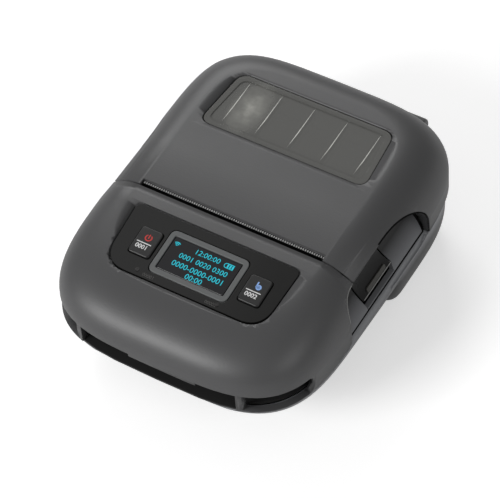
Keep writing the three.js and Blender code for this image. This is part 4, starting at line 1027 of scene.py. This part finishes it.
# The pale cloud at the window's left rear is a painted reflection.
pane_smoke = smoked_pane("smoked_polycarbonate", "#6e6e6b", "#c4c4bc", 0.08)
pane = prism(window_plan(-PANE.play, WINDOW.corner), CASE.top - PANE.foot, CASE.top - PANE.sunk, "Z")
cut(pane, prism(window_plan(-PANE.rim, PANE.rim_round), CASE.top - PANE.dish, CASE.top + PANE.over, "Z"))
unite(pane, prism(
    window_plan(WINDOW.ledge - PANE.flange_play, WINDOW.corner + 1), CASE.top - PANE.flange_foot,
    CASE.top - PANE.flange_top, "Z"))
for x in rib_places:
    unite(pane, brick(
        x - RIB.width / 2, x + RIB.width / 2, RIB.start, RIB.end, CASE.top - PANE.flange_foot - RIB.height,
        CASE.top - RIB.top))
softened(pane, 0.2, 2)
finished("window_pane", pane, pane_smoke, "lid", "window_smoke", "lid_window")

# Rib edges: painted highlights, bright lines through the pane where the ribs' edges catch the light. Each is a
# thin tapered sliver of pale ink just in the pane's surface.
GLINT = Sizes(ahead=1, wide=0.4, wide_at=7, end=0.12, end_before=2, foot=0.79, top=0.72)
rib_painted_highlight = pad_ink("painted_rib_highlight", "#d2d2cc", 0.2)
edges = []
for x in rib_places:
    edge_plan = [
        (x, RIB.start - GLINT.ahead), (x + GLINT.wide, RIB.start + GLINT.wide_at), (x + GLINT.end, RIB.end),
        (x, RIB.end - GLINT.end_before)]
    edges.append(prism(edge_plan, CASE.top - GLINT.foot, CASE.top - GLINT.top, "Z"))
finished("rib_painted_highlights", joined(edges), rib_painted_highlight, "lid", "window_smoke")

# Tear blade: a thin strip of blackened steel under the lid's edge, serrated on a press. The tips of its teeth
# carry a painted highlight, a pale band near their top. Its teeth are half as wide as the plain solid's.
BLADE = Sizes(
    half=41.2, teeth=82, height=0.75, root=55.1, foot=51.0, front=-1.1, rear=-0.3, tip_start=0.42, tip_end=0.58)


def steel_with_painted_tips(name, colour, tip, roughness, highlight_height, highlight_run):
    """Blackened steel with a painted highlight at its tips: dull below, and painted pale and shiny over a band
    of height at the cut edge.
    """
    material, tree, at = new_material(name)
    parts = add_node(tree, "SeparateXYZ", {"Vector": at})
    high = add_node(tree, "MapRange", {
        "From Min": highlight_height * MM, "From Max": (highlight_height + highlight_run) * MM, "Value": parts.outputs["Z"]})
    tint = add_node(tree, "MixRGB", {"Color1": linear(colour), "Color2": linear(tip), "Fac": high})
    shader = add_node(tree, "BsdfPrincipled", {"Metallic": 0.4, "Roughness": roughness, "Base Color": tint})
    add_node(tree, "OutputMaterial", {"Surface": shader})
    return material


# The teeth are painted pale above 55.35 mm as a highlight.
blade_steel = steel_with_painted_tips("blackened_steel_painted_tip_highlight", "#161616", "#f2f2f2", 0.4, 55.35, 0.2)
pitch, tip = 2 * BLADE.half / BLADE.teeth, BLADE.root + BLADE.height
blade_edge = [(BLADE.half, BLADE.foot)]
for i in range(BLADE.teeth):
    x = BLADE.half - i * pitch
    blade_edge += [(x, BLADE.root), (x - BLADE.tip_start * pitch, tip), (x - BLADE.tip_end * pitch, tip)]
blade_edge += [(-BLADE.half, BLADE.root), (-BLADE.half, BLADE.foot)]
blade = prism(blade_edge, BLADE.front, BLADE.rear, "Y")
finished("tear_blade", blade, blade_steel, "lid", "steel", "tear_bar")

# Bought-in and turned parts keep their plain solids: the print head, motor, gear train, boards, battery, port
# and feet. Each gets the finish of its own material.
def metal(name, colour, roughness, scratch_mm):
    """Bare metal with fine working marks that break up its shine."""
    material, tree, at = new_material(name)
    marks = add_node(tree, "TexNoise", {"Scale": 1000 / scratch_mm, "Vector": at})
    spread = add_node(tree, "MapRange", {"To Min": roughness - 0.08, "To Max": roughness + 0.1, "Value": marks})
    shader = add_node(tree, "BsdfPrincipled", {
        "Base Color": linear(colour), "Metallic": 1.0, "Roughness": spread})
    add_node(tree, "OutputMaterial", {"Surface": shader})
    return material


steel = metal("rolled_stainless_steel", "#b4b6b8", 0.32, 0.6)
aluminium = metal("cast_aluminium", "#a9abad", 0.45, 0.8)
rubber = grained_abs("black_nitrile_rubber", "#1b1b1b", "#222222", 0.85, 0.5, 0.04)
inner_abs = grained_abs("black_inner_abs", "#141414", "#1a1a1a", 0.7, 0.5, 0.03)
board = gloss_plastic("green_solder_resist", "#20503a", 0.4)
acetal = grained_abs("white_acetal", "#d8d6cc", "#dedcd2", 0.45, 0.4, 0.01)
lens = gloss_plastic("dark_lens_polycarbonate", "#161413", 0.2)
battery_wrap = grained_abs("grey_battery_case", "#2a2c30", "#303236", 0.6, 0.6, 0.02)
PLAIN = (
    (inner_abs, "guard_liner", "lid_carrier"), (board, "panel_board", "main_board"),
    (aluminium, "print_head", "stepper_motor"), (lens, "power_lens", "error_lens"),
    (steel, "heat_sink", "platen_shaft", "motor_pinion", "gear_bracket", "hinge_pin", "charge_port"),
    (acetal, "platen_gear", "idler_gear", "platen_bush_left", "platen_bush_right"),
    (rubber, "platen_rubber", "foot_front_right", "foot_front_left", "foot_rear_right", "foot_rear_left"),
    (battery_wrap, "battery_pack"), (case_abs, "battery_door"))
for material, *nodes in PLAIN:
    for node in nodes:
        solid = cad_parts[node]
        if solid.material_slots:
            for spot in solid.material_slots:
                spot.material = material
        else:
            solid.data.materials.append(material)
